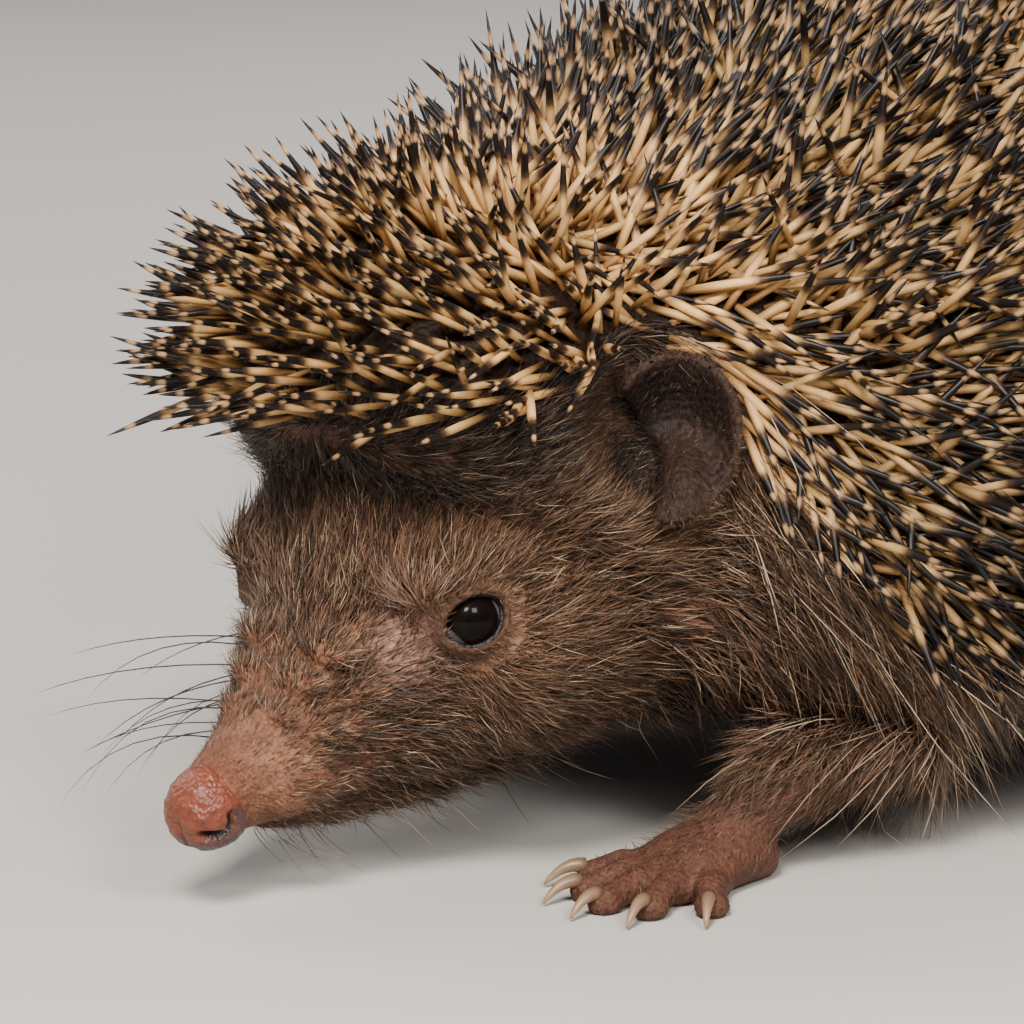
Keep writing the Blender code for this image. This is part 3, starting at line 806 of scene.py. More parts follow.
RELIEF, given, result = shader_group(
    "skin relief",
    (("Size", "NodeSocketFloat", 0.0007), ("Depth", "NodeSocketFloat", 0.00012),
     ("Strength", "NodeSocketFloat", 1.0)),
    ("Normal", "NodeSocketVector"),
)
place = add(RELIEF, "ShaderNodeTexCoord").outputs["Object"]
scale = maths(RELIEF, "DIVIDE", 1.0, given["Size"])
cells = add(RELIEF, "ShaderNodeTexVoronoi", {"Vector": place, "Scale": scale}, feature="SMOOTH_F1")
noise = add(RELIEF, "ShaderNodeTexNoise", {"Vector": place, "Scale": scale, "Detail": ROUGH})
height = maths(RELIEF, "SUBTRACT", noise.outputs[0], cells.outputs["Distance"])
bump = add(RELIEF, "ShaderNodeBump",
           {"Height": height, "Distance": given["Depth"], "Strength": given["Strength"]})
RELIEF.links.new(bump.outputs[0], result)


# %% Materials
def painted(tree):
    """The colour painted on the points of the mesh."""
    return add(tree, "ShaderNodeAttribute", attribute_name="tint").outputs["Color"]


def material(name, roughness, colour=painted, mottle=(), relief=None, **settings):
    """Principled material; 'colour' is one plain colour or a function that makes its nodes."""
    made = bpy.data.materials.new(name)
    made.use_nodes = True
    tree = made.node_tree
    shader = tree.nodes["Principled BSDF"]
    shader.inputs["Roughness"].default_value = roughness
    for key, value in settings.items():
        shader.inputs[key.replace("_", " ")].default_value = value
    if callable(colour):
        source = colour(tree)
        for size, amount in mottle:
            source = use_group(tree, MOTTLE, Colour=source, Size=size, Amount=amount)
        tree.links.new(source, shader.inputs["Base Color"])
    else:
        shader.inputs["Base Color"].default_value = (*colour, 1)
    if relief:
        normal = use_group(tree, RELIEF, **dict(zip(("Size", "Depth", "Strength"), relief)))
        tree.links.new(normal, shader.inputs["Normal"])
        if "Coat_Weight" in settings:
            tree.links.new(normal, shader.inputs["Coat Normal"])
    return made


SKIN = material("skin", 0.6, mottle=((0.0016, 0.5), (0.0003, 0.9)), relief=(0.0006, 0.00025, 0.9),
                Specular_IOR_Level=0.15, Subsurface_Weight=0.1, Subsurface_Scale=0.001,
                Subsurface_Radius=(1.0, 0.35, 0.2))
NOSE_SKIN = material("nose skin", 0.5, mottle=((0.0007, 0.45),), relief=(0.00030, 0.00011, 0.9),
                     Subsurface_Weight=0.12, Subsurface_Scale=0.001, Specular_IOR_Level=0.15,
                     Coat_Weight=0.5, Coat_Roughness=0.04)
EYEBALL = material("wet eye", 0.35, Specular_IOR_Level=0.02, Coat_Weight=0.24, Coat_Roughness=0.01,
                   Coat_IOR=1.32)
LID_RIM = material("lid rim", 0.45, (0.010, 0.008, 0.008), relief=(0.0004, 0.0002, 0.8),
                   Specular_IOR_Level=0.3)
CLAW_HORN = material("claw horn", 0.38, mottle=((0.0009, 0.25),))
HAIR = material("hair", 0.42)

# %% [markdown]
# Quills are banded: a pale shaft, a dark band, a pale ring and a dark tip. Every quill carries `along`,
# which runs from 0 at the root to 1 at the tip, and its own `shade`, which moves the bands a little and
# makes some quills paler. Part of the shade is painted light and shade: paler quills on the crown and
# darker ones low on the flanks. A colour ramp turns the first into the bands.

# %% The banded quill material
# Toward the root the shaft darkens, partly as painted shade deep in the coat.
QUILL_BANDS = (
    (0.0, (0.16, 0.080, 0.030)),
    (0.25, (0.38, 0.215, 0.080)),
    (0.46, (0.45, 0.275, 0.112)),
    (0.54, (0.06, 0.030, 0.015)),
    (0.60, (0.0065, 0.0042, 0.0040)),
    (0.73, (0.0060, 0.0040, 0.0040)),
    (0.765, (0.33, 0.20, 0.095)),
    (0.800, (0.26, 0.150, 0.070)),
    (0.840, (0.010, 0.0062, 0.0050)),
)
BAND_SHIFT = (-0.07, 0.035)  # the bands move by the shade times the first plus the second
BAND_LIGHT = (0.55, 0.66)  # and the light of the colours follows it in the same way


def banded(tree):
    """Colour of a quill from its place along the shaft and its own shade."""
    along = add(tree, "ShaderNodeAttribute", attribute_name="along").outputs["Fac"]
    shade = add(tree, "ShaderNodeAttribute", attribute_name="shade").outputs["Fac"]
    place = maths(tree, "ADD", along, maths(tree, "MULTIPLY_ADD", shade, *BAND_SHIFT))
    bands = add(tree, "ShaderNodeValToRGB", {0: place})
    ramp_stops = bands.color_ramp.elements
    while len(ramp_stops) < len(QUILL_BANDS):
        ramp_stops.new(0.5)
    for stop, (at, colour) in zip(ramp_stops, QUILL_BANDS):
        stop.position = at
        stop.color = (*colour, 1)
    return scaled(tree, bands.outputs[0], maths(tree, "MULTIPLY_ADD", shade, *BAND_LIGHT))


QUILL = material("quill", 0.42, banded, mottle=((0.0012, 0.3),), Specular_IOR_Level=0.25)
print("materials:", [made.name for made in bpy.data.materials])


# %% [markdown]
# ## From arrays to objects
#
# A mesh of a hundred thousand faces is filled fastest with `foreach_set`, which copies whole arrays.
# Another helper paints the colour that the materials read. Hairs and quills get a UV map too, where
# every one has a small patch at the place of its root on the unrolled skin.

# %% Helpers for meshes
BODY_AXIS = ((-105, 10), (-80, 22), (-55, 30), (-20, 36), (60, 36), (105, 20))  # as (x, z)
MAP_LENGTH = 250  # length along X that the map covers, a little more than the animal's


def unrolled(points):
    """Place of each point on the skin unrolled round the body's own axis, from 0 to 1 both ways."""
    x, y, z = points.T
    turn = np.arctan2(y, z - read_table(x, BODY_AXIS))
    return np.stack(((x + MAP_LENGTH / 2) / MAP_LENGTH, turn / (2 * np.pi) + 0.5), axis=1)


def bulk_object(name, points, faces, surface, smooth=True):
    """Object from arrays: points in millimetres and faces that all have as many corners."""
    mesh = bpy.data.meshes.new(name)
    mesh.vertices.add(len(points))
    mesh.vertices.foreach_set("co", np.asarray(points * MM, np.float32).ravel())
    mesh.loops.add(faces.size)
    mesh.loops.foreach_set("vertex_index", np.asarray(faces, np.int32).ravel())
    mesh.polygons.add(len(faces))
    mesh.polygons.foreach_set("loop_start", np.arange(len(faces), dtype=np.int32) * faces.shape[1])
    mesh.update(calc_edges=True)
    mesh.validate()
    if smooth:
        mesh.shade_smooth()
    mesh.materials.append(surface)
    piece = bpy.data.objects.new(name, mesh)
    bpy.context.collection.objects.link(piece)
    return piece


def paint(piece, colours):
    """Colour attribute with one linear colour for each point."""
    layer = piece.data.color_attributes.new("tint", "FLOAT_COLOR", "POINT")
    full = np.ones((len(colours), 4), np.float32)
    full[:, :3] = np.clip(colours, 0, 1)
    layer.data.foreach_set("color", full.ravel())


# %% The skin
skin_normals = unit(slope_at(skin_points))
skin = bulk_object("skin", skin_points, skin_faces, SKIN)
paint(skin, skin_colour(skin_points))
FLESH_NODES = ["snout", "jaw", "head", "crown", "neck", "shoulders", "barrel", "rump", "tail"]
for part in ("ear", "foreleg", "hindleg", "forefoot", "hindfoot"):
    FLESH_NODES += [f"{part}_{side}" for side in SIGNS]
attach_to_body(skin, "root")
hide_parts(*FLESH_NODES)
print("skin triangles:", len(skin.data.polygons) * 2)

# %% [markdown]
# ## Eyes
#
# The eyeball is almost all dark iris behind a bulging cornea, so its look comes from gloss: a clear coat
# on a nearly black ball. Its colours are painted by the angle from the gaze, with a blue-grey rim of
# white showing at the rear corner and a grey wedge of third eyelid at the front. A thin wet ring closes
# the gap between the ball and the lids.

# %% Eyeballs and lid rims
PUPIL = np.array((0.0030, 0.0020, 0.0016))
IRIS = np.array((0.0050, 0.0030, 0.0022))
EYE_WHITE = np.array((0.095, 0.105, 0.140))
THIRD_LID = np.array((0.075, 0.066, 0.070))
CORNEA = 0.16  # how far it bulges from the ball
RIM_LIFT, RIM_RADIUS = 0.18, 0.30


def ball_mesh(rings, spokes):
    """Unit ball as directions and triangles, with its pole along +Z."""
    tilt = np.linspace(0, np.pi, rings + 1)[1:-1]
    spin = np.arange(spokes) * 2 * np.pi / spokes
    columns = (np.sin(tilt), np.cos(spin)), (np.sin(tilt), np.sin(spin)), (np.cos(tilt), np.ones(spokes))
    body = np.stack([np.outer(first, second) for first, second in columns], axis=-1).reshape(-1, 3)
    points = np.vstack((body, (0, 0, 1), (0, 0, -1)))
    top, bottom = len(body), len(body) + 1
    here = np.arange(spokes)
    there = (here + 1) % spokes
    faces = [np.stack((np.full(spokes, top), here, there), axis=1)]
    for ring in range(rings - 2):
        a, b = ring * spokes, (ring + 1) * spokes
        faces.append(np.stack((a + here, b + here, b + there), axis=1))
        faces.append(np.stack((a + here, b + there, a + there), axis=1))
    last = (rings - 2) * spokes
    faces.append(np.stack((last + here, np.full(spokes, bottom), last + there), axis=1))
    return points, np.vstack(faces)


def tube(path, radii, sides=8, closed=False):
    """Triangles of a tube along a path, closed into a ring or capped at both ends."""
    path, radii = np.asarray(path, float), np.asarray(radii, float)
    if closed:
        ahead = unit(np.roll(path, -1, 0) - np.roll(path, 1, 0))
    else:
        ahead = unit(np.gradient(path, axis=0))
    flat = unit(np.cross(ahead, unit(path.mean(0) - path[0] + (0.013, 0.017, 1.0))))
    over = np.cross(ahead, flat)
    turn = np.arange(sides) * 2 * np.pi / sides
    around = flat[:, None] * np.cos(turn)[None, :, None] + over[:, None] * np.sin(turn)[None, :, None]
    points = (path[:, None] + around * radii[:, None, None]).reshape(-1, 3)
    here = np.arange(sides)
    there = (here + 1) % sides
    faces = []
    count = len(path)
    for k in range(count if closed else count - 1):
        a, b = k * sides, ((k + 1) % count) * sides
        faces += [np.stack((a + here, a + there, b + there), 1), np.stack((a + here, b + there, b + here), 1)]
    if not closed:
        points = np.vstack((points, path[0], path[-1]))
        end = (count - 1) * sides
        faces.append(np.stack((there, here, np.full(sides, len(points) - 2)), 1))
        faces.append(np.stack((end + here, end + there, np.full(sides, len(points) - 1)), 1))
    return points, np.vstack(faces)


def outward(points, faces, side):
    """The same shape on the named side; the left one is mirrored and its faces turned over."""
    if side == "right":
        return points, faces
    return points * (1, -1, 1), faces[:, ::-1]


def eye_shape():
    """Points, faces and colours of the right eyeball."""
    ball, faces = ball_mesh(64, 96)
    gaze = np.stack((LID_LENGTH, LID_HEIGHT, GAZE))
    tilt = np.arccos(np.clip(ball[:, 2], -1, 1))
    cornea = ramp(0.95 - tilt, 0, 0.5)
    radius = EYE_RADIUS + CORNEA * cornea
    colours = np.tile(PUPIL, (len(ball), 1))
    colours = toward(colours, IRIS, ramp(tilt, 0.30, 0.55) * ramp(0.95 - tilt, 0, 0.2))
    colours = toward(colours, EYE_WHITE, ramp(-ball[:, 0], 0.70, 0.82) * ramp(tilt, 0.5, 0.8))
    colours = toward(colours, THIRD_LID, ramp(ball[:, 0] - 0.5 * ball[:, 1], 0.74, 0.84))
    return EYE + (ball * radius[:, None]) @ gaze, faces, colours


def lid_rim_shape():
    """Wet ring that follows the opening of the lids."""
    turn = np.arange(72) * 2 * np.pi / 72
    long, high = OPENING[0] * np.cos(turn), OPENING[1] * np.sin(turn)
    reach = EYE_RADIUS + RIM_LIFT
    ahead = np.sqrt(np.maximum(reach**2 - long**2 - high**2, 0.16))
    path = EYE + long[:, None] * LID_LENGTH + high[:, None] * LID_HEIGHT + ahead[:, None] * GAZE
    return tube(path, RIM_RADIUS + 0.05 * np.sin(3 * turn + 1), 10, closed=True)


for side in SIGNS:
    points, faces, colours = eye_shape()
    points, faces = outward(points, faces, side)
    piece = bulk_object(f"eyeball_{side}", points, faces, EYEBALL)
    paint(piece, colours)
    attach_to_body(piece, "root")
    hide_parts(f"eye_{side}")
    points, faces = lid_rim_shape()
    points, faces = outward(points, faces, side)
    rim = bulk_object(f"lid_rim_{side}", points, faces, LID_RIM)
    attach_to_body(rim, "root")
print("eyes: radius", round(EYE_RADIUS, 2), "mm, gaze", GAZE.round(2))

# %% [markdown]
# ## Nose pad
#
# A hedgehog's nose is wet, bare and pebbled. The pad is a ball whose radius is changed by direction: a
# groove down the middle, a wing on each side, and a comma-shaped nostril cut under each wing. Its colour
# runs from salmon above to grey mauve below.

# %% The nose
NOSE_RADII = np.array((3.9, 3.75, 4.05))  # along, across and up
NOSE_BACK = 0.6
# Middle line of the right nostril, as directions from the middle of the pad.
NOSTRIL = ((-0.80, 0.58, -0.16), (-0.60, 0.76, -0.30), (-0.30, 0.88, -0.38), (-0.09, 0.97, -0.18),
           (-0.07, 0.99, 0.02))
NOSTRIL_DEPTH = 0.34  # as a share of the pad's radius
SALMON = np.array((0.150, 0.037, 0.018))
MAUVE = np.array((0.060, 0.026, 0.024))
NOSTRIL_SHADE = np.array((0.010, 0.006, 0.006))


def nose_shape():
    """Points, faces and colours of the nose pad."""
    ball, faces = ball_mesh(110, 160)
    s, y, u = ball[:, 2] * -1, ball[:, 0], ball[:, 1]  # the pole points forward
    place = np.stack((s, y, u), axis=1)
    lobes = 1 + 0.07 * np.exp(-(((np.abs(y) - 0.55) / 0.3) ** 2) - ((u + 0.15) / 0.5) ** 2)
    lobes -= 0.13 * np.exp(-((y / 0.10) ** 2)) * ramp(-s, -0.1, 0.5) * ramp(0.55 - u, 0, 0.7)
    lobes -= 0.05 * ramp(-u, 0.45, 0.9)
    pits = np.zeros(len(ball))
    side = np.stack((s, np.abs(y), u), axis=1)
    nostril = smooth_rows(NOSTRIL, 5)
    for share, centre in zip(np.linspace(0, 1, len(nostril)), unit(nostril)):
        width = 0.105 + 0.055 * math.sin(math.pi * share)
        pits = np.maximum(pits, np.exp(-((np.linalg.norm(side - centre, axis=1) / width) ** 2)))
    grain = wander(ball, 0.16, 11)[:, 0] * 0.012 + wander(ball, 0.07, 12)[:, 0] * 0.008
    reach = lobes + grain - NOSTRIL_DEPTH * pits
    local = place * NOSE_RADII * reach[:, None]
    points = NOSE + ALONG * NOSE_BACK + local @ HEAD_AXES
    colours = darker(np.tile(SALMON, (len(ball), 1)), -0.14 * wander(ball, 0.2, 14)[:, 0])
    low = np.maximum(ramp(-u, 0.20, 0.48), ramp(s, -0.25, 0.1) * ramp(0.35 - u, 0, 0.35))
    colours = toward(colours, MAUVE, low)
    # The nostril pits are painted near black as painted shade.
    colours = toward(colours, NOSTRIL_SHADE, ramp(pits, 0.35, 0.85))
    return points, faces[:, ::-1], colours


points, faces, colours = nose_shape()
nose = bulk_object("nose_pad", points, faces, NOSE_SKIN)
paint(nose, colours)
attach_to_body(nose, "root")
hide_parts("nose")
print("nose pad:", len(points), "points")

# %% [markdown]
# ## Claws
#
# Each claw is a tapered tube along a shallow arc. It starts inside the pad of its toe, points the way the
# toe spreads, and takes its length from the matching claw of the frame, up to `CLAW_LONGEST`.

# %% Twenty claws
CLAW_RINGS, CLAW_SIDES = 9, 10
CLAW_LONGEST = 5.0
CLAW_BOW = 1.15  # how far the arc rises over its chord
CLAW_LOW = 0.35  # height of the middle of its tip, and of its root over the middle of the pad
CLAW_INSIDE = 0.6  # how far it starts inside the pad
CLAW_RADII = (0.12, 0.78)  # at the tip, and what the root has more
CLAW_ROOT, CLAW_TIP = np.array((0.075, 0.038, 0.022)), np.array((0.30, 0.19, 0.11))


def claw_shape(pair, side, number):
    """Points and faces of one claw, from inside its toe forward to a tip just over the floor."""
    node_low, node_high = box_mm(f"{pair}foot_{side}_claw_{number}")
    chains = leg_places(pair, side)[2]
    pad = np.array(chains[number - 1][-1][:3])
    spread = math.radians(TOES[pair][number - 1][0])
    ahead = np.array((-math.cos(spread), SIGNS[side] * math.sin(spread), 0.0))
    length = (node_high[0] - node_low[0]) / max(math.cos(spread), 0.6)
    root = pad - ahead * CLAW_INSIDE + (0, 0, CLAW_LOW)
    tip = root + ahead * min(length, CLAW_LONGEST)
    tip[2] = CLAW_LOW
    t = np.linspace(0, 1, CLAW_RINGS)[:, None]
    arc = root + (tip - root) * t + np.array((0, 0, CLAW_BOW)) * (4 * t * (1 - t))
    radii = CLAW_RADII[1] * (1 - t[:, 0]) ** 0.7 + CLAW_RADII[0]
    return tube(arc, radii, CLAW_SIDES)


claw_share = np.append(np.repeat(np.linspace(0, 1, CLAW_RINGS), CLAW_SIDES), (0, 1))
for pair in ("fore", "hind"):
    for side in SIGNS:
        for number in range(1, 6):
            points, faces = claw_shape(pair, side, number)
            points[:, 2] = np.maximum(points[:, 2], 0.02)
            name = f"{pair}foot_{side}_claw_{number}"
            claw = bulk_object(name.replace("claw", "nail"), points, faces, CLAW_HORN)
            paint(claw, toward(np.tile(CLAW_ROOT, (len(points), 1)), CLAW_TIP, claw_share))
            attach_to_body(claw, "root")
            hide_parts(name)
print("claws made")

# %% [markdown]
# ## Scattering roots over the skin
#
# Roots are thrown on the triangles of the skin by area times a density. Quills must not crowd, so their
# roots are thinned: taken in random order, each is kept only if no kept one is nearer than the spacing.

# %% Throwing and thinning
corner_sets = np.vstack((skin_faces[:, [0, 1, 2]], skin_faces[:, [0, 2, 3]]))
corner_points = skin_points[corner_sets]
first_edges, second_edges = (corner_points[:, k] - corner_points[:, 0] for k in (1, 2))
triangle_areas = np.linalg.norm(np.cross(first_edges, second_edges), axis=1) / 2
triangle_middles = corner_points.mean(1)


def scatter(density, rng, count):
    """Roots and normals of so many hairs or quills, thrown on the skin by its area times the density."""
    share = triangle_areas * density
    total = share.sum()
    picks = np.searchsorted(np.cumsum(share) / total, rng.random(count))
    picks = np.minimum(picks, len(share) - 1)
    first, second = rng.random(count), rng.random(count)
    over = first + second > 1
    first[over], second[over] = 1 - first[over], 1 - second[over]
    weights = np.stack((1 - first - second, first, second), axis=1)
    roots = (corner_points[picks] * weights[..., None]).sum(1)
    normals = unit((skin_normals[corner_sets[picks]] * weights[..., None]).sum(1))
    return roots, normals


def thinned(points, spacing):
    """Numbers of the points kept when none may be nearer than the spacing to another."""
    kept, cells = [], {}
    size = spacing.max()
    keys = np.floor(points / size).astype(int)
    near = [(i, j, k) for i in (-1, 0, 1) for j in (-1, 0, 1) for k in (-1, 0, 1)]
    for number, (point, key, gap) in enumerate(zip(points.tolist(), keys.tolist(), spacing.tolist())):
        crowded = False
        for i, j, k in near:
            for other in cells.get((key[0] + i, key[1] + j, key[2] + k), ()):
                away = (point[0] - other[0]) ** 2 + (point[1] - other[1]) ** 2 + (point[2] - other[2]) ** 2
                if away < gap * gap:
                    crowded = True
                    break
            if crowded:
                break
        if not crowded:
            cells.setdefault(tuple(key), []).append(point)
            kept.append(number)
    return np.array(kept)


# %% [markdown]
# ## Quills
#
# Each quill starts at a root with its own direction, length and thickness. On the visor they point
# forward, on the back backward, and between the two, round the ears, they stand and cross. Geometry Nodes
# then puts one five-sided spine on every root: the instances are turned along `lie`, scaled by `size`,
# realized, and given the map for baking.

# %% Tables along the body, as (x, value)
QUILL_DENSITY = ((-80, 2.0), (-50, 1.7), (20, 1), (60, 1))
QUILL_SPACING = ((-86, 1.36), (-74, 1.26), (-60, 1.10), (-40, 1.10), (0, 1.28), (60, 1.36))
QUILL_LENGTH = ((-90, 10.0), (-74, 12.6), (-50, 14.8), (0, 16.0), (60, 16), (90, 13))
QUILL_THICK = ((-90, 0.41), (-60, 0.46), (0, 0.50))
QUILL_DROOP = ((-55, 0.8), (-40, 0.65), (0, 0.3))  # how far the ones near the edge hang
QUILL_STAND = ((-87, 0.28), (-74, 0.50), (-60, 0.80), (-45, 0.80), (0, 0.74), (80, 0.66))
QUILL_STIR = ((-90, 0.17), (-78, 0.34), (-64, 0.56), (-48, 0.48), (-10, 0.37), (80, 0.30))  # disorder
THROWN_QUILLS = 80000
EAR_CLEARANCE = 1.5
LEAST_LIFT = 0.16  # no quill leans nearer to the skin than this

# %% Roots and directions of the quills
rng = np.random.default_rng(20)
middles_ear = ear_distance(triangle_middles)
from_ear = mirrored(triangle_middles) - EAR_CENTRE
before_ear = (np.linalg.norm(from_ear, axis=1) < 9.5) & (from_ear @ EAR_FACING > -1.5)
quill_density = (above_edge(triangle_middles) > 0) * (middles_ear > 1.2) * (triangle_middles[:, 0] < 90.5)
quill_density = quill_density * ~before_ear * read_table(triangle_middles[:, 0], QUILL_DENSITY)
quill_roots, quill_normals = scatter(quill_density, rng, THROWN_QUILLS)
kept = thinned(quill_roots, read_table(quill_roots[:, 0], QUILL_SPACING))
quill_roots, quill_normals = quill_roots[kept], quill_normals[kept]


def leaning_out(ways, normals, least):
    """Directions turned away from the skin where they point into it or lie too close."""
    inward = np.minimum((ways * normals).sum(1) - least, 0)
    return unit(ways - normals * inward[:, None])


def quill_lies(points, normals, rng):
    """Direction of the quill at each root."""
    x, y, z = points.T
    side, over = np.sign(y), above_edge(points)
    backward = ramp(x, -77, -54)
    forward = vectors(-1.0, 0.18 + y / 19 * 0.30, 0.07 + 0.03 * (z - 46))
    droop = (1 - ramp(over, 4, 24)) * read_table(x, QUILL_DROOP)
    flow = toward(forward, vectors(1.0, side * 0.10, -0.06 - droop), backward)
    stand = read_table(x, QUILL_STAND) * (0.30 + 0.70 * ramp(normals[:, 2], 0.1, 0.85))
    stir = read_table(x, QUILL_STIR) * (0.55 + 0.45 * np.maximum(ramp(over, 0, 5), ramp(-x, 62, 68)))
    rising = normals * vectors(1.0, 1.0, 1 - (1 - backward) * (normals[:, 2] < 0))
    disorder = rng.normal(size=points.shape) + wander(points, 9.0, 21) * 0.45
    lie = flow + rising * stand[:, None] + disorder * stir[:, None]
    strays = (over < 3.2) & (x > -83) & (x < -75) & (rng.random(len(x)) < 0.2)  # a few hang over the brow
    lie[strays] += vectors(0.0, side * 0.9, -1.5)[strays]
    low = (x > -61) & (over < 10)
    lie[low, 0] = np.abs(lie[low, 0])
    return leaning_out(unit(lie), normals, LEAST_LIFT)


def quill_sizes(points, rng):
    """Length and thickness of the quill at each root."""
    x, _, z = points.T
    visor = ramp(-x, 78, 86)
    length = read_table(x, QUILL_LENGTH)
    length = length * (0.76 + 0.24 * ramp(above_edge(points), 0, 8)) * (1 - visor) + length * visor
    length = (length + visor * ramp(50 - z, 0, 4)) * rng.uniform(0.76, 1.08, len(x))
    return length, read_table(x, QUILL_THICK) * rng.uniform(0.80, 1.15, len(x))


quill_lie = quill_lies(quill_roots, quill_normals, rng)
quill_length, quill_thick = quill_sizes(quill_roots, rng)
clear = np.ones(len(quill_roots), bool)
for share in np.linspace(0.1, 1, 10):  # no quill runs through an ear
    clear &= ear_distance(quill_roots + quill_lie * (quill_length * share)[:, None]) > EAR_CLEARANCE
quill_roots, quill_lie = quill_roots[clear], quill_lie[clear]
quill_length, quill_thick = quill_length[clear], quill_thick[clear]
# The shade is random; it is paler behind the visor and on the nape, partly as painted light, and darker low
# on the flanks, partly as painted shade.
quill_x, quill_z = quill_roots[:, 0], quill_roots[:, 2]
quill_tone_and_light = rng.random(len(quill_roots)) + 0.62 * ramp(-quill_x, 38, 60) * ramp(quill_x, -86, -76)
quill_tone_and_light -= 0.75 * ramp(-above_edge(quill_roots), -36, -8) * ramp(quill_x, -62, -50)
quill_tone_and_light += 0.25 * ramp(quill_z, 46, 53) * ramp(-quill_x, 42, 54)
print("quills:", len(quill_roots))


# %% One spine to repeat
SPINE_LEVELS = ((0.0, 0.75), (0.36, 1.0), (0.60, 0.88), (0.78, 0.58), (0.91, 0.30))  # height and radius
SPINE_SIDES = 5


def attach(mesh, name, kind, values):
    """Attribute of a mesh with one value or vector for each point."""
    field = "value" if kind == "FLOAT" else "vector"
    layer = mesh.attributes.new(name, kind, "POINT")
    layer.data.foreach_set(field, np.asarray(values, np.float32).ravel())


def spine_mesh():
    """Quill of unit length and radius 1, with 'along' and a patch of the map on its points."""
    sides = SPINE_SIDES
    points, patch = [], []
    for height, radius in SPINE_LEVELS:
        for k in range(sides):
            turn = 2 * math.pi * k / sides
            points.append((radius * math.cos(turn), radius * math.sin(turn), height))
            patch.append((k / (sides - 1), height))
    points += [(0, 0, 1), (0, 0, 0)]
    patch += [(0.5, 1), (0.5, 0)]
    faces = []
    for ring in range(len(SPINE_LEVELS) - 1):
        for k in range(sides):
            a, b = ring * sides + k, ring * sides + (k + 1) % sides
            faces.append((a, b, b + sides, a + sides))
    tip, foot, last = len(points) - 2, len(points) - 1, (len(SPINE_LEVELS) - 1) * sides
    faces += [(last + k, last + (k + 1) % sides, tip) for k in range(sides)]
    faces += [((k + 1) % sides, k, foot) for k in range(sides)]
    mesh = bpy.data.meshes.new("spine")
    mesh.from_pydata(points, [], faces)
    mesh.shade_smooth()
    attach(mesh, "along", "FLOAT", [height for _, _, height in points])
    attach(mesh, "patch", "FLOAT2", patch)
    return bpy.data.objects.new("spine", mesh)


# %% The node tree that plants the spines
PATCH = 0.003


def planting_tree(surface):
    """Geometry Nodes group that puts a spine on every point of the mesh it is given."""
    tree = bpy.data.node_groups.new("plant spines", "GeometryNodeTree")
    tree.interface.new_socket("Roots", in_out="INPUT", socket_type="NodeSocketGeometry")
    tree.interface.new_socket("Spine", in_out="INPUT", socket_type="NodeSocketObject")
    tree.interface.new_socket("Patch", in_out="INPUT", socket_type="NodeSocketFloat").default_value = PATCH
    tree.interface.new_socket("Coat", in_out="OUTPUT", socket_type="NodeSocketGeometry")
    given = tree.nodes.new("NodeGroupInput").outputs

    def named(name):
        """Vector that each root carries under a name."""
        node = add(tree, "GeometryNodeInputNamedAttribute", {"Name": name}, data_type="FLOAT_VECTOR")
        return node.outputs["Attribute"]

    spine = add(tree, "GeometryNodeObjectInfo", {"Object": given["Spine"]})
    turned = add(tree, "FunctionNodeAlignRotationToVector", {"Vector": named("lie")}, axis="Z")
    planted = add(tree, "GeometryNodeInstanceOnPoints", {
        "Points": given["Roots"], "Instance": spine.outputs["Geometry"],
        "Rotation": turned.outputs["Rotation"], "Scale": named("size")})
    real = add(tree, "GeometryNodeRealizeInstances", {"Geometry": planted.outputs["Instances"]})
    small = scaled(tree, named("patch"), given["Patch"])
    at = add(tree, "ShaderNodeVectorMath", {0: named("root"), 1: small}, operation="ADD").outputs[0]
    stored = add(tree, "GeometryNodeStoreNamedAttribute", {
        "Geometry": real.outputs["Geometry"], "Name": "OFBake", "Value": at},
        data_type="FLOAT2", domain="CORNER")
    coat = stored.outputs["Geometry"]
    dressed = add(tree, "GeometryNodeSetMaterial", {"Geometry": coat, "Material": surface})
    tree.links.new(dressed.outputs[0], tree.nodes.new("NodeGroupOutput").inputs[0])
    return tree


def plant(name, chosen, template, tree):
    """One coat piece from the chosen quills."""
    mesh = bpy.data.meshes.new(name + "_roots")
    mesh.from_pydata((quill_roots[chosen] * MM).tolist(), [], [])
    size = np.stack((quill_thick, quill_thick, quill_length), axis=1)[chosen] * MM
    attach(mesh, "lie", "FLOAT_VECTOR", quill_lie[chosen])
    attach(mesh, "size", "FLOAT_VECTOR", size)
    attach(mesh, "root", "FLOAT_VECTOR", np.pad(unrolled(quill_roots[chosen]), ((0, 0), (0, 1))))
    attach(mesh, "shade", "FLOAT", quill_tone_and_light[chosen])
    maker = bpy.data.objects.new(name + "_maker", mesh)
    bpy.context.collection.objects.link(maker)
    modifier = maker.modifiers.new("plant", "NODES")
    modifier.node_group = tree
    settings = {"Spine": template, "Patch": PATCH}
    for item in tree.interface.items_tree:
        if item.name in settings:
            modifier[item.identifier] = settings[item.name]
    evaluated = maker.evaluated_get(bpy.context.evaluated_depsgraph_get())
    result = bpy.data.meshes.new_from_object(evaluated)
    bpy.data.objects.remove(maker)
    for label in ("lie", "size", "root", "patch"):
        if label in result.attributes:
            result.attributes.remove(result.attributes[label])
    piece = bpy.data.objects.new(name, result)
    bpy.context.collection.objects.link(piece)
    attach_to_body(piece, "root")
    return piece


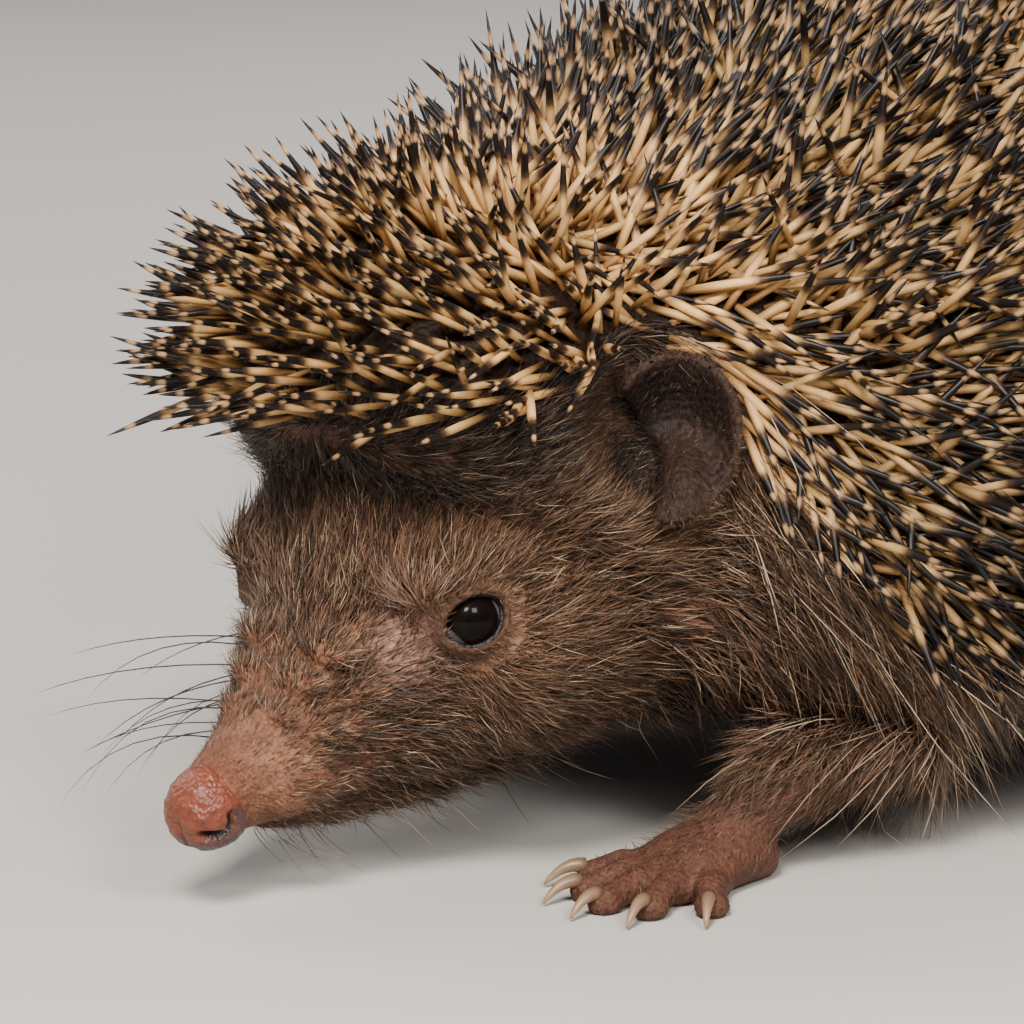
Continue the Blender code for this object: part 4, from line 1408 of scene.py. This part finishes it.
# %% The four pieces of quills
spine = spine_mesh()
spine_tree = planting_tree(QUILL)
QUILL_PARTS = {
    "crown_quills": quill_x < -50,
    "shoulder_quills": (quill_x >= -50) & (quill_x < 2),
    "back_quills": (quill_x >= 2) & (quill_x < 46),
    "rump_quills": quill_x >= 46,
}
for name, chosen in QUILL_PARTS.items():
    piece = plant(name, chosen, spine, spine_tree)
    print(name, chosen.sum(), "quills,", len(piece.data.polygons), "faces")
bpy.data.objects.remove(spine)

# %% [markdown]
# ## Hair
#
# A hair is a three-sided spike in two bent lengths, ten triangles in all. The arrays below hold every
# hair at once: a root, a direction that follows the lie of the coat, a bend, a length and a colour.
# Length, density and lie are again functions of place, short on the muzzle and long on the neck.

# %% Strands as one mesh
FLOOR_GAP = 0.35  # the middle of a hair comes no nearer to the floor, and its surface a little nearer
FLOOR_TOUCH = 0.3


def strands(name, roots, ways, bends, lengths, radii, colours, where, rings=2):
    """Coat piece of three-sided spikes; 'where' is the place of each root on the unrolled skin."""
    count, sides = len(roots), 3
    share = np.arange(rings + 1) / rings
    travel = ways[:, None] * share[:, None] + bends[:, None] * (share**2)[:, None]
    path = roots[:, None] + travel * lengths[:, None, None]
    path[:, :, 2] = np.maximum(path[:, :, 2], FLOOR_GAP)
    across = unit(np.cross(ways, np.random.default_rng(3).normal(size=ways.shape)))
    over = np.cross(unit(ways), across)
    blocks, along, patch = [], [], []
    for ring in range(rings):
        width = radii * (1 - 0.6 * share[ring] ** 2)
        for k in range(sides):
            turn = 2 * math.pi * k / sides
            way_out = across * math.cos(turn) + over * math.sin(turn)
            blocks.append(path[:, ring] + way_out * width[:, None])
            along.append(share[ring])
            patch.append((k / 2, share[ring]))
    blocks.append(path[:, rings])
    along.append(1.0)
    patch.append((0.5, 1.0))
    faces = [(2, 1, 0)]
    for ring in range(rings - 1):
        for k in range(sides):
            a, b = ring * sides + k, ring * sides + (k + 1) % sides
            faces += [(a, b, b + sides), (a, b + sides, a + sides)]
    last, tip = (rings - 1) * sides, rings * sides
    faces += [(last + k, last + (k + 1) % sides, tip) for k in range(sides)]
    faces = np.array(faces)
    each = rings * sides + 1
    points = np.stack(blocks, axis=1).reshape(-1, 3)
    points[:, 2] = np.maximum(points[:, 2], FLOOR_TOUCH)
    all_faces = (faces[None] + each * np.arange(count)[:, None, None]).reshape(-1, 3)
    piece = bulk_object(name, points, all_faces, HAIR)
    fade = 0.55 + 0.45 * np.array(along)  # hairs are darker toward the root
    paint(piece, (colours[:, None] * fade[None, :, None]).reshape(-1, 3))
    layer = piece.data.uv_layers.new(name="OFBake")
    uv = where[:, None] + np.array(patch)[None] * PATCH
    layer.data.foreach_set("uv", uv.reshape(-1, 2)[all_faces.ravel()].astype(np.float32).ravel())
    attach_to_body(piece, "root")
    print(name, count, "hairs,", len(all_faces), "triangles")
    return piece


# %% Tables along the head and body, as (s, value) or (x, value)
HAIR_LENGTH = ((2, 0.9), (6, 1.5), (11, 2.5), (17, 3.8), (24, 4.8), (32, 5.6), (42, 7.4), (52, 10.0),
               (62, 11.5))
HAIR_LIFT = ((3, 0.50), (12, 0.55), (24, 0.45), (40, 0.42), (60, 0.32))
HAIR_STIR = ((3, 0.30), (20, 0.30), (45, 0.26), (80, 0.20))  # disorder
HAIR_FALL = ((-60, -0.95), (-30, -0.8), (20, -0.6))  # how steeply the coat of the trunk hangs
HAIR_RADIUS = ((1.2, 0.026), (3, 0.038), (9, 0.070))  # by the length of the hair
LIMB_LENGTH = ((1, 1.4), (5, 2.8), (12, 5.4))  # by height over the floor
EAR_HAIR, TAIL_HAIR = 1.3, 3.2
HAIR_LEAST_LIFT = 0.12  # no hair leans nearer to the skin than this
ROOT_DEPTH = 0.2
hair_random = np.random.default_rng(40)


# %% Fields of the hair
def hair_lengths(points, normals, limbs, ears):
    """Length of the hair at each point."""
    s, _, u = to_head(points).T
    x, _, z = points.T
    face = ramp(56 - s, 0, 8)
    length = read_table(s, HAIR_LENGTH) * (1 - 0.15 * face * ramp(u, 12, 22))
    length = length * (0.28 + 0.72 * ramp(reach_from(points, EYE), 3.6, 5.2))
    by_ear = ramp(reach_from(points, HOLLOW[0]), 8.0, 13.0)
    length = length * (0.22 + 0.78 * np.maximum(by_ear, ramp(x, -60, -55)))
    length = length * (1 - 0.3 * ramp(-normals[:, 2], 0.3, 0.9) * (1 - face))
    length = length + (read_table(z, LIMB_LENGTH) - length) * limbs
    length = length + (EAR_HAIR - length) * ears
    return length + (TAIL_HAIR - length) * ramp(x, 92, 97)


def hair_flow(points, normals, ears):
    """Lie of the coat at each point, along the skin."""
    s, y, u = to_head(points).T
    x, _, z = points.T
    side, face = np.sign(y), ramp(56 - s, 0, 8)
    flow = ALONG + HEAD_UP * (0.35 * ramp(u, 6, 18) - 0.55 * ramp(8 - u, 0, 14))[:, None] * face[:, None]
    round_eye = mirrored(points) - EYE
    near_eye = np.exp(-((np.linalg.norm(round_eye, axis=1) / 6.0) ** 2))
    flow = flow + on_own_side(unit(round_eye), y) * near_eye[:, None] * 1.2
    flow = toward(flow, vectors(0.75, side * 0.05, read_table(x, HAIR_FALL)), 1 - ramp(51 - s, 0, 11))
    shin = ramp(z, 5, 6) * (x > 0)  # forward on the feet and forelegs, and down on the hind legs
    down = vectors(1.25 * shin - 1, side * 1.1 * ramp(z, 6, 3), -0.35 - 0.65 * shin)
    flow = toward(flow, down, limb_mask(points, 22))
    flow = toward(flow, unit(points - on_own_side(EAR_CENTRE - EAR_UP * 1.5, y)), ears)
    return unit(flow - normals * (flow * normals).sum(1)[:, None])


def grow(name, density, limit, size=1.0, stretch=1.0, rings=2, pale=0.0, rng=hair_random):
    """Fur piece over the part of the skin where the density is not zero."""
    total = (triangle_areas * density).sum()
    roots, normals = scatter(density, rng, min(int(total), limit))
    s = to_head(roots)[:, 0]
    limbs, ears = limb_mask(roots), ramp(1.4 - ear_distance(roots), 0, 0.8)
    length, flow = hair_lengths(roots, normals, limbs, ears), hair_flow(roots, normals, ears)
    lift = read_table(s, HAIR_LIFT) * (1 - 0.4 * ramp(-normals[:, 2], 0.3, 0.9))
    tuft = wander(roots, 2.6, 31) * 0.5 + wander(roots, 7.0, 32) * 0.35
    disorder = (rng.normal(size=roots.shape) + tuft) * read_table(s, HAIR_STIR)[:, None]
    ways = leaning_out(unit(flow + normals * lift[:, None] + disorder), normals, HAIR_LEAST_LIFT)
    bends = flow * 0.18 - normals * 0.22 + rng.normal(size=roots.shape) * 0.12
    bends[:, 2] -= 0.10 * (1 - ramp(56 - s, 0, 8))
    lengths = length * rng.uniform(0.62, 1.15, len(roots)) * stretch
    radii = read_table(length, HAIR_RADIUS) * rng.uniform(0.75, 1.2, len(roots)) * size
    colours = hair_colour(roots, rng)
    if pale:
        colours = toward(colours, GUARD_PALE, rng.uniform(pale, 1, len(roots)))
    sunk = roots - normals * ROOT_DEPTH
    return strands(name, sunk, ways, bends, lengths, radii, colours, unrolled(roots), rings)


# %% Where each part's hair grows
along_head = to_head(triangle_middles)[:, 0]
x_middle, _, z_middle = triangle_middles.T
bare = 1 - ramp(above_edge(triangle_middles), -0.5, 2.5) * ramp(middles_ear, 2.5, 5.0)
bare = bare * (z_middle > 0.4)
near_ear = ramp(1.4 - middles_ear, 0, 0.5)
near_eye = reach_from(triangle_middles, EYE)
before_eye = reach_from(triangle_middles, TEAR_PLACE)
open_skin = bare * ramp(near_eye, 3.5, 3.9) * (1 - near_ear) * (1 - 0.72 * ramp(5.0 - before_eye, 0, 2.5))
open_skin = open_skin * (1 + ramp(7.0 - near_eye, 0, 3.0))
on_limb = limb_mask(triangle_middles)
body = open_skin * (1 - on_limb)
under = ramp(-skin_normals[corner_sets[:, 0]][:, 2], 0.45, 0.9)
brow = ramp(to_head(triangle_middles)[:, 2], 7, 12)


def between(low, high):
    """1 where the head's axis runs from low up to high, 0 elsewhere."""
    return (along_head >= low) & (along_head < high)


# %% The hair of each part
trunk_hair = body * between(56, np.inf) * (1 - 0.75 * under)
muzzle_density = np.interp(along_head, (2, 8, 21), (14, 19, 20))
limb_density = np.interp(z_middle, (0.5, 3, 8), (2, 7, 12))
guard_density = ramp(along_head, 44, 60) * (1 - 0.7 * under) * np.interp(x_middle, (-30, 0), (0.32, 0.16))
grow("muzzle_fur", body * between(1.5, 21) * muzzle_density, 18000)
grow("brow_fur", body * between(20, 52) * brow * 15, 18500)
grow("cheek_fur", body * between(20, 38) * (1 - brow) * 17, 18500)
grow("jowl_fur", body * between(37, 58) * (1 - brow) * 11, 18000)
grow("neck_fur", trunk_hair * (x_middle < -28) * 9, 8000)
grow("flank_fur", trunk_hair * (x_middle >= -28) * 3.4, 9500, size=1.25)
grow("belly_fur", body * (x_middle > -50) * under * 1.2, 4500, size=1.4)
grow("limb_fur", bare * on_limb * limb_density, 11000)
grow("ear_fur", near_ear * 14, 8000, size=0.6)
grow("guard_hairs", body * guard_density, 4500, size=0.95, stretch=1.75, rings=3, pale=0.35)

# %% [markdown]
# ## Whiskers
#
# The whiskers are long tapering arcs from the sides of the muzzle, dark at the root, with finer pale
# ones under the chin. They are strands too, with more rings so that the arc stays smooth.

# %% Whiskers on both sides
WHISKER_DARK = np.array((0.020, 0.014, 0.012))
CHIN_PALE = np.array((0.42, 0.32, 0.24))
WHISKER_RADIUS, CHIN_RADIUS = 0.08, 0.05
CHIN_HAIRS = 44  # on each side
# How far the whiskers of each side sweep back along the head, and how long they are. Those of the right
# side reach forward past the nose.
WHISKER_SWEEP = {"left": ((0.3, 1.2), (5, 11)), "right": ((-1.2, -0.5), (13, 25))}
rng = np.random.default_rng(52)
whiskers = []
for side, sign in SIGNS.items():
    sweep, reach = WHISKER_SWEEP[side]
    for place in WHISKER_PLACES:
        way = unit(head_vector(rng.uniform(*sweep), sign * 0.9, rng.uniform(-0.05, 0.5)))
        bend = head_vector(0.12, 0, rng.uniform(-0.8, -0.2))
        whiskers.append((place * (1, sign, 1), way, bend, rng.uniform(*reach), WHISKER_RADIUS, WHISKER_DARK))
    for _ in range(CHIN_HAIRS):
        back = rng.uniform(5, 34)
        place = np.array((back, 1.0 + rng.uniform(0.1, 0.22) * back, -5.6 - 0.13 * back))
        way = unit(head_vector(rng.uniform(0.0, 0.5), sign * rng.uniform(0.1, 0.5), -0.9))
        bend = head_vector(rng.uniform(0.1, 0.5), 0, -0.1)
        length = rng.uniform(2.6, 5.6) + 0.12 * back
        tone = rng.uniform(0.08, 1) * CHIN_PALE
        whiskers.append((place * (1, sign, 1), way, bend, length, CHIN_RADIUS, tone))
places, ways, bends, lengths, radii, colours = (np.array(column) for column in zip(*whiskers))
roots = NOSE + places @ HEAD_AXES
strands("whiskers", roots, ways, bends, lengths, radii, colours, unrolled(roots), rings=7)

# %% [markdown]
# ## Floor, light and camera
#
# The stage is a pale floor and plain soft light. Two small square lamps stand near the camera, above
# it, and give the eye its pair of glints. Two wide ones behind the animal light its edge, and the pale
# room keeps the underside readable.

# %% The stage
FLOOR_HALF = 2500
ROOM_COLOUR, ROOM_LIGHT = (0.92, 0.95, 1.0, 1), 0.24
floor_points = np.array(((-1, -1, 0), (1, -1, 0), (1, 1, 0), (-1, 1, 0)), float) * FLOOR_HALF
FLOOR = material("floor", 0.85, (0.50, 0.475, 0.45))
floor = bulk_object("floor", floor_points, np.array([[0, 1, 2, 3]]), FLOOR, smooth=False)

world = bpy.data.worlds.new("soft room")
bpy.context.scene.world = world
world.use_nodes = True
room = world.node_tree.nodes["Background"]
room.inputs["Color"].default_value = ROOM_COLOUR
room.inputs["Strength"].default_value = ROOM_LIGHT

# %% The camera
AZIMUTH, ELEVATION, DISTANCE = math.radians(-46), math.radians(12), 450.0
RIGHT = np.array((math.cos(AZIMUTH), math.sin(AZIMUTH), 0.0))
LEVEL = np.array((math.sin(AZIMUTH), -math.cos(AZIMUTH), 0.0))
BACK = LEVEL * math.cos(ELEVATION) + np.array((0.0, 0.0, math.sin(ELEVATION)))
UP = np.cross(BACK, RIGHT)
FRAME_WIDTH = 93.1
FROM_NOSE = (27.9, 27.1)  # how far the middle of the view lies to the right of the nose and above it
SENSOR = 36
# The view is set out from the middle of the nose, and its width holds at the depth of the near eye.
nose_middle = np.array((-101.0, 0.0, 9.6))
depth = np.array((-80.0, -12.0, 27.0)) @ BACK
aim = RIGHT * (nose_middle @ RIGHT + FROM_NOSE[0]) + UP * (nose_middle @ UP + FROM_NOSE[1]) + BACK * depth
camera_data = bpy.data.cameras.new("camera")
camera_data.sensor_width = SENSOR
camera_data.lens = SENSOR * DISTANCE / FRAME_WIDTH
camera_data.clip_start = 0.01
camera = bpy.data.objects.new("camera", camera_data)
bpy.context.collection.objects.link(camera)
camera.matrix_world = Matrix([Vector(v) for v in (RIGHT, UP, BACK)]).transposed().to_4x4()
camera.location = Vector((aim + BACK * DISTANCE) * MM)
bpy.context.scene.camera = camera

# %% Two small lamps in front and two wide ones behind
left_eye = EYE * (1, -1, 1)


def lamp(name, way, distance, width, power, colour):
    """Square area lamp that shines at the left eye from the given way."""
    data = bpy.data.lights.new(name, "AREA")
    data.shape = "SQUARE"
    data.size = width * MM
    data.energy = power
    data.color = colour
    light = bpy.data.objects.new(name, data)
    bpy.context.collection.objects.link(light)
    way = Vector(way).normalized()
    light.location = Vector(left_eye * MM) + way * distance * MM
    light.rotation_euler = way.to_track_quat("Z", "Y").to_euler()


lamp("key", RIGHT * -0.12 + UP * 0.56 + BACK * 0.82, 520, 140, 5.4, (1.0, 0.95, 0.88))
lamp("second", RIGHT * 0.42 + UP * 0.42 + BACK * 0.80, 520, 140, 2.2, (1.0, 0.96, 0.90))
lamp("fill", RIGHT * -0.9 + UP * 0.9 - BACK * 0.5, 900, 600, 5.0, (1.0, 0.97, 0.93))
lamp("back", RIGHT * 0.9 + UP * 0.9 - BACK * 0.9, 900, 400, 6.0, (1.0, 0.97, 0.93))
print("camera at", [round(v, 3) for v in camera.location])
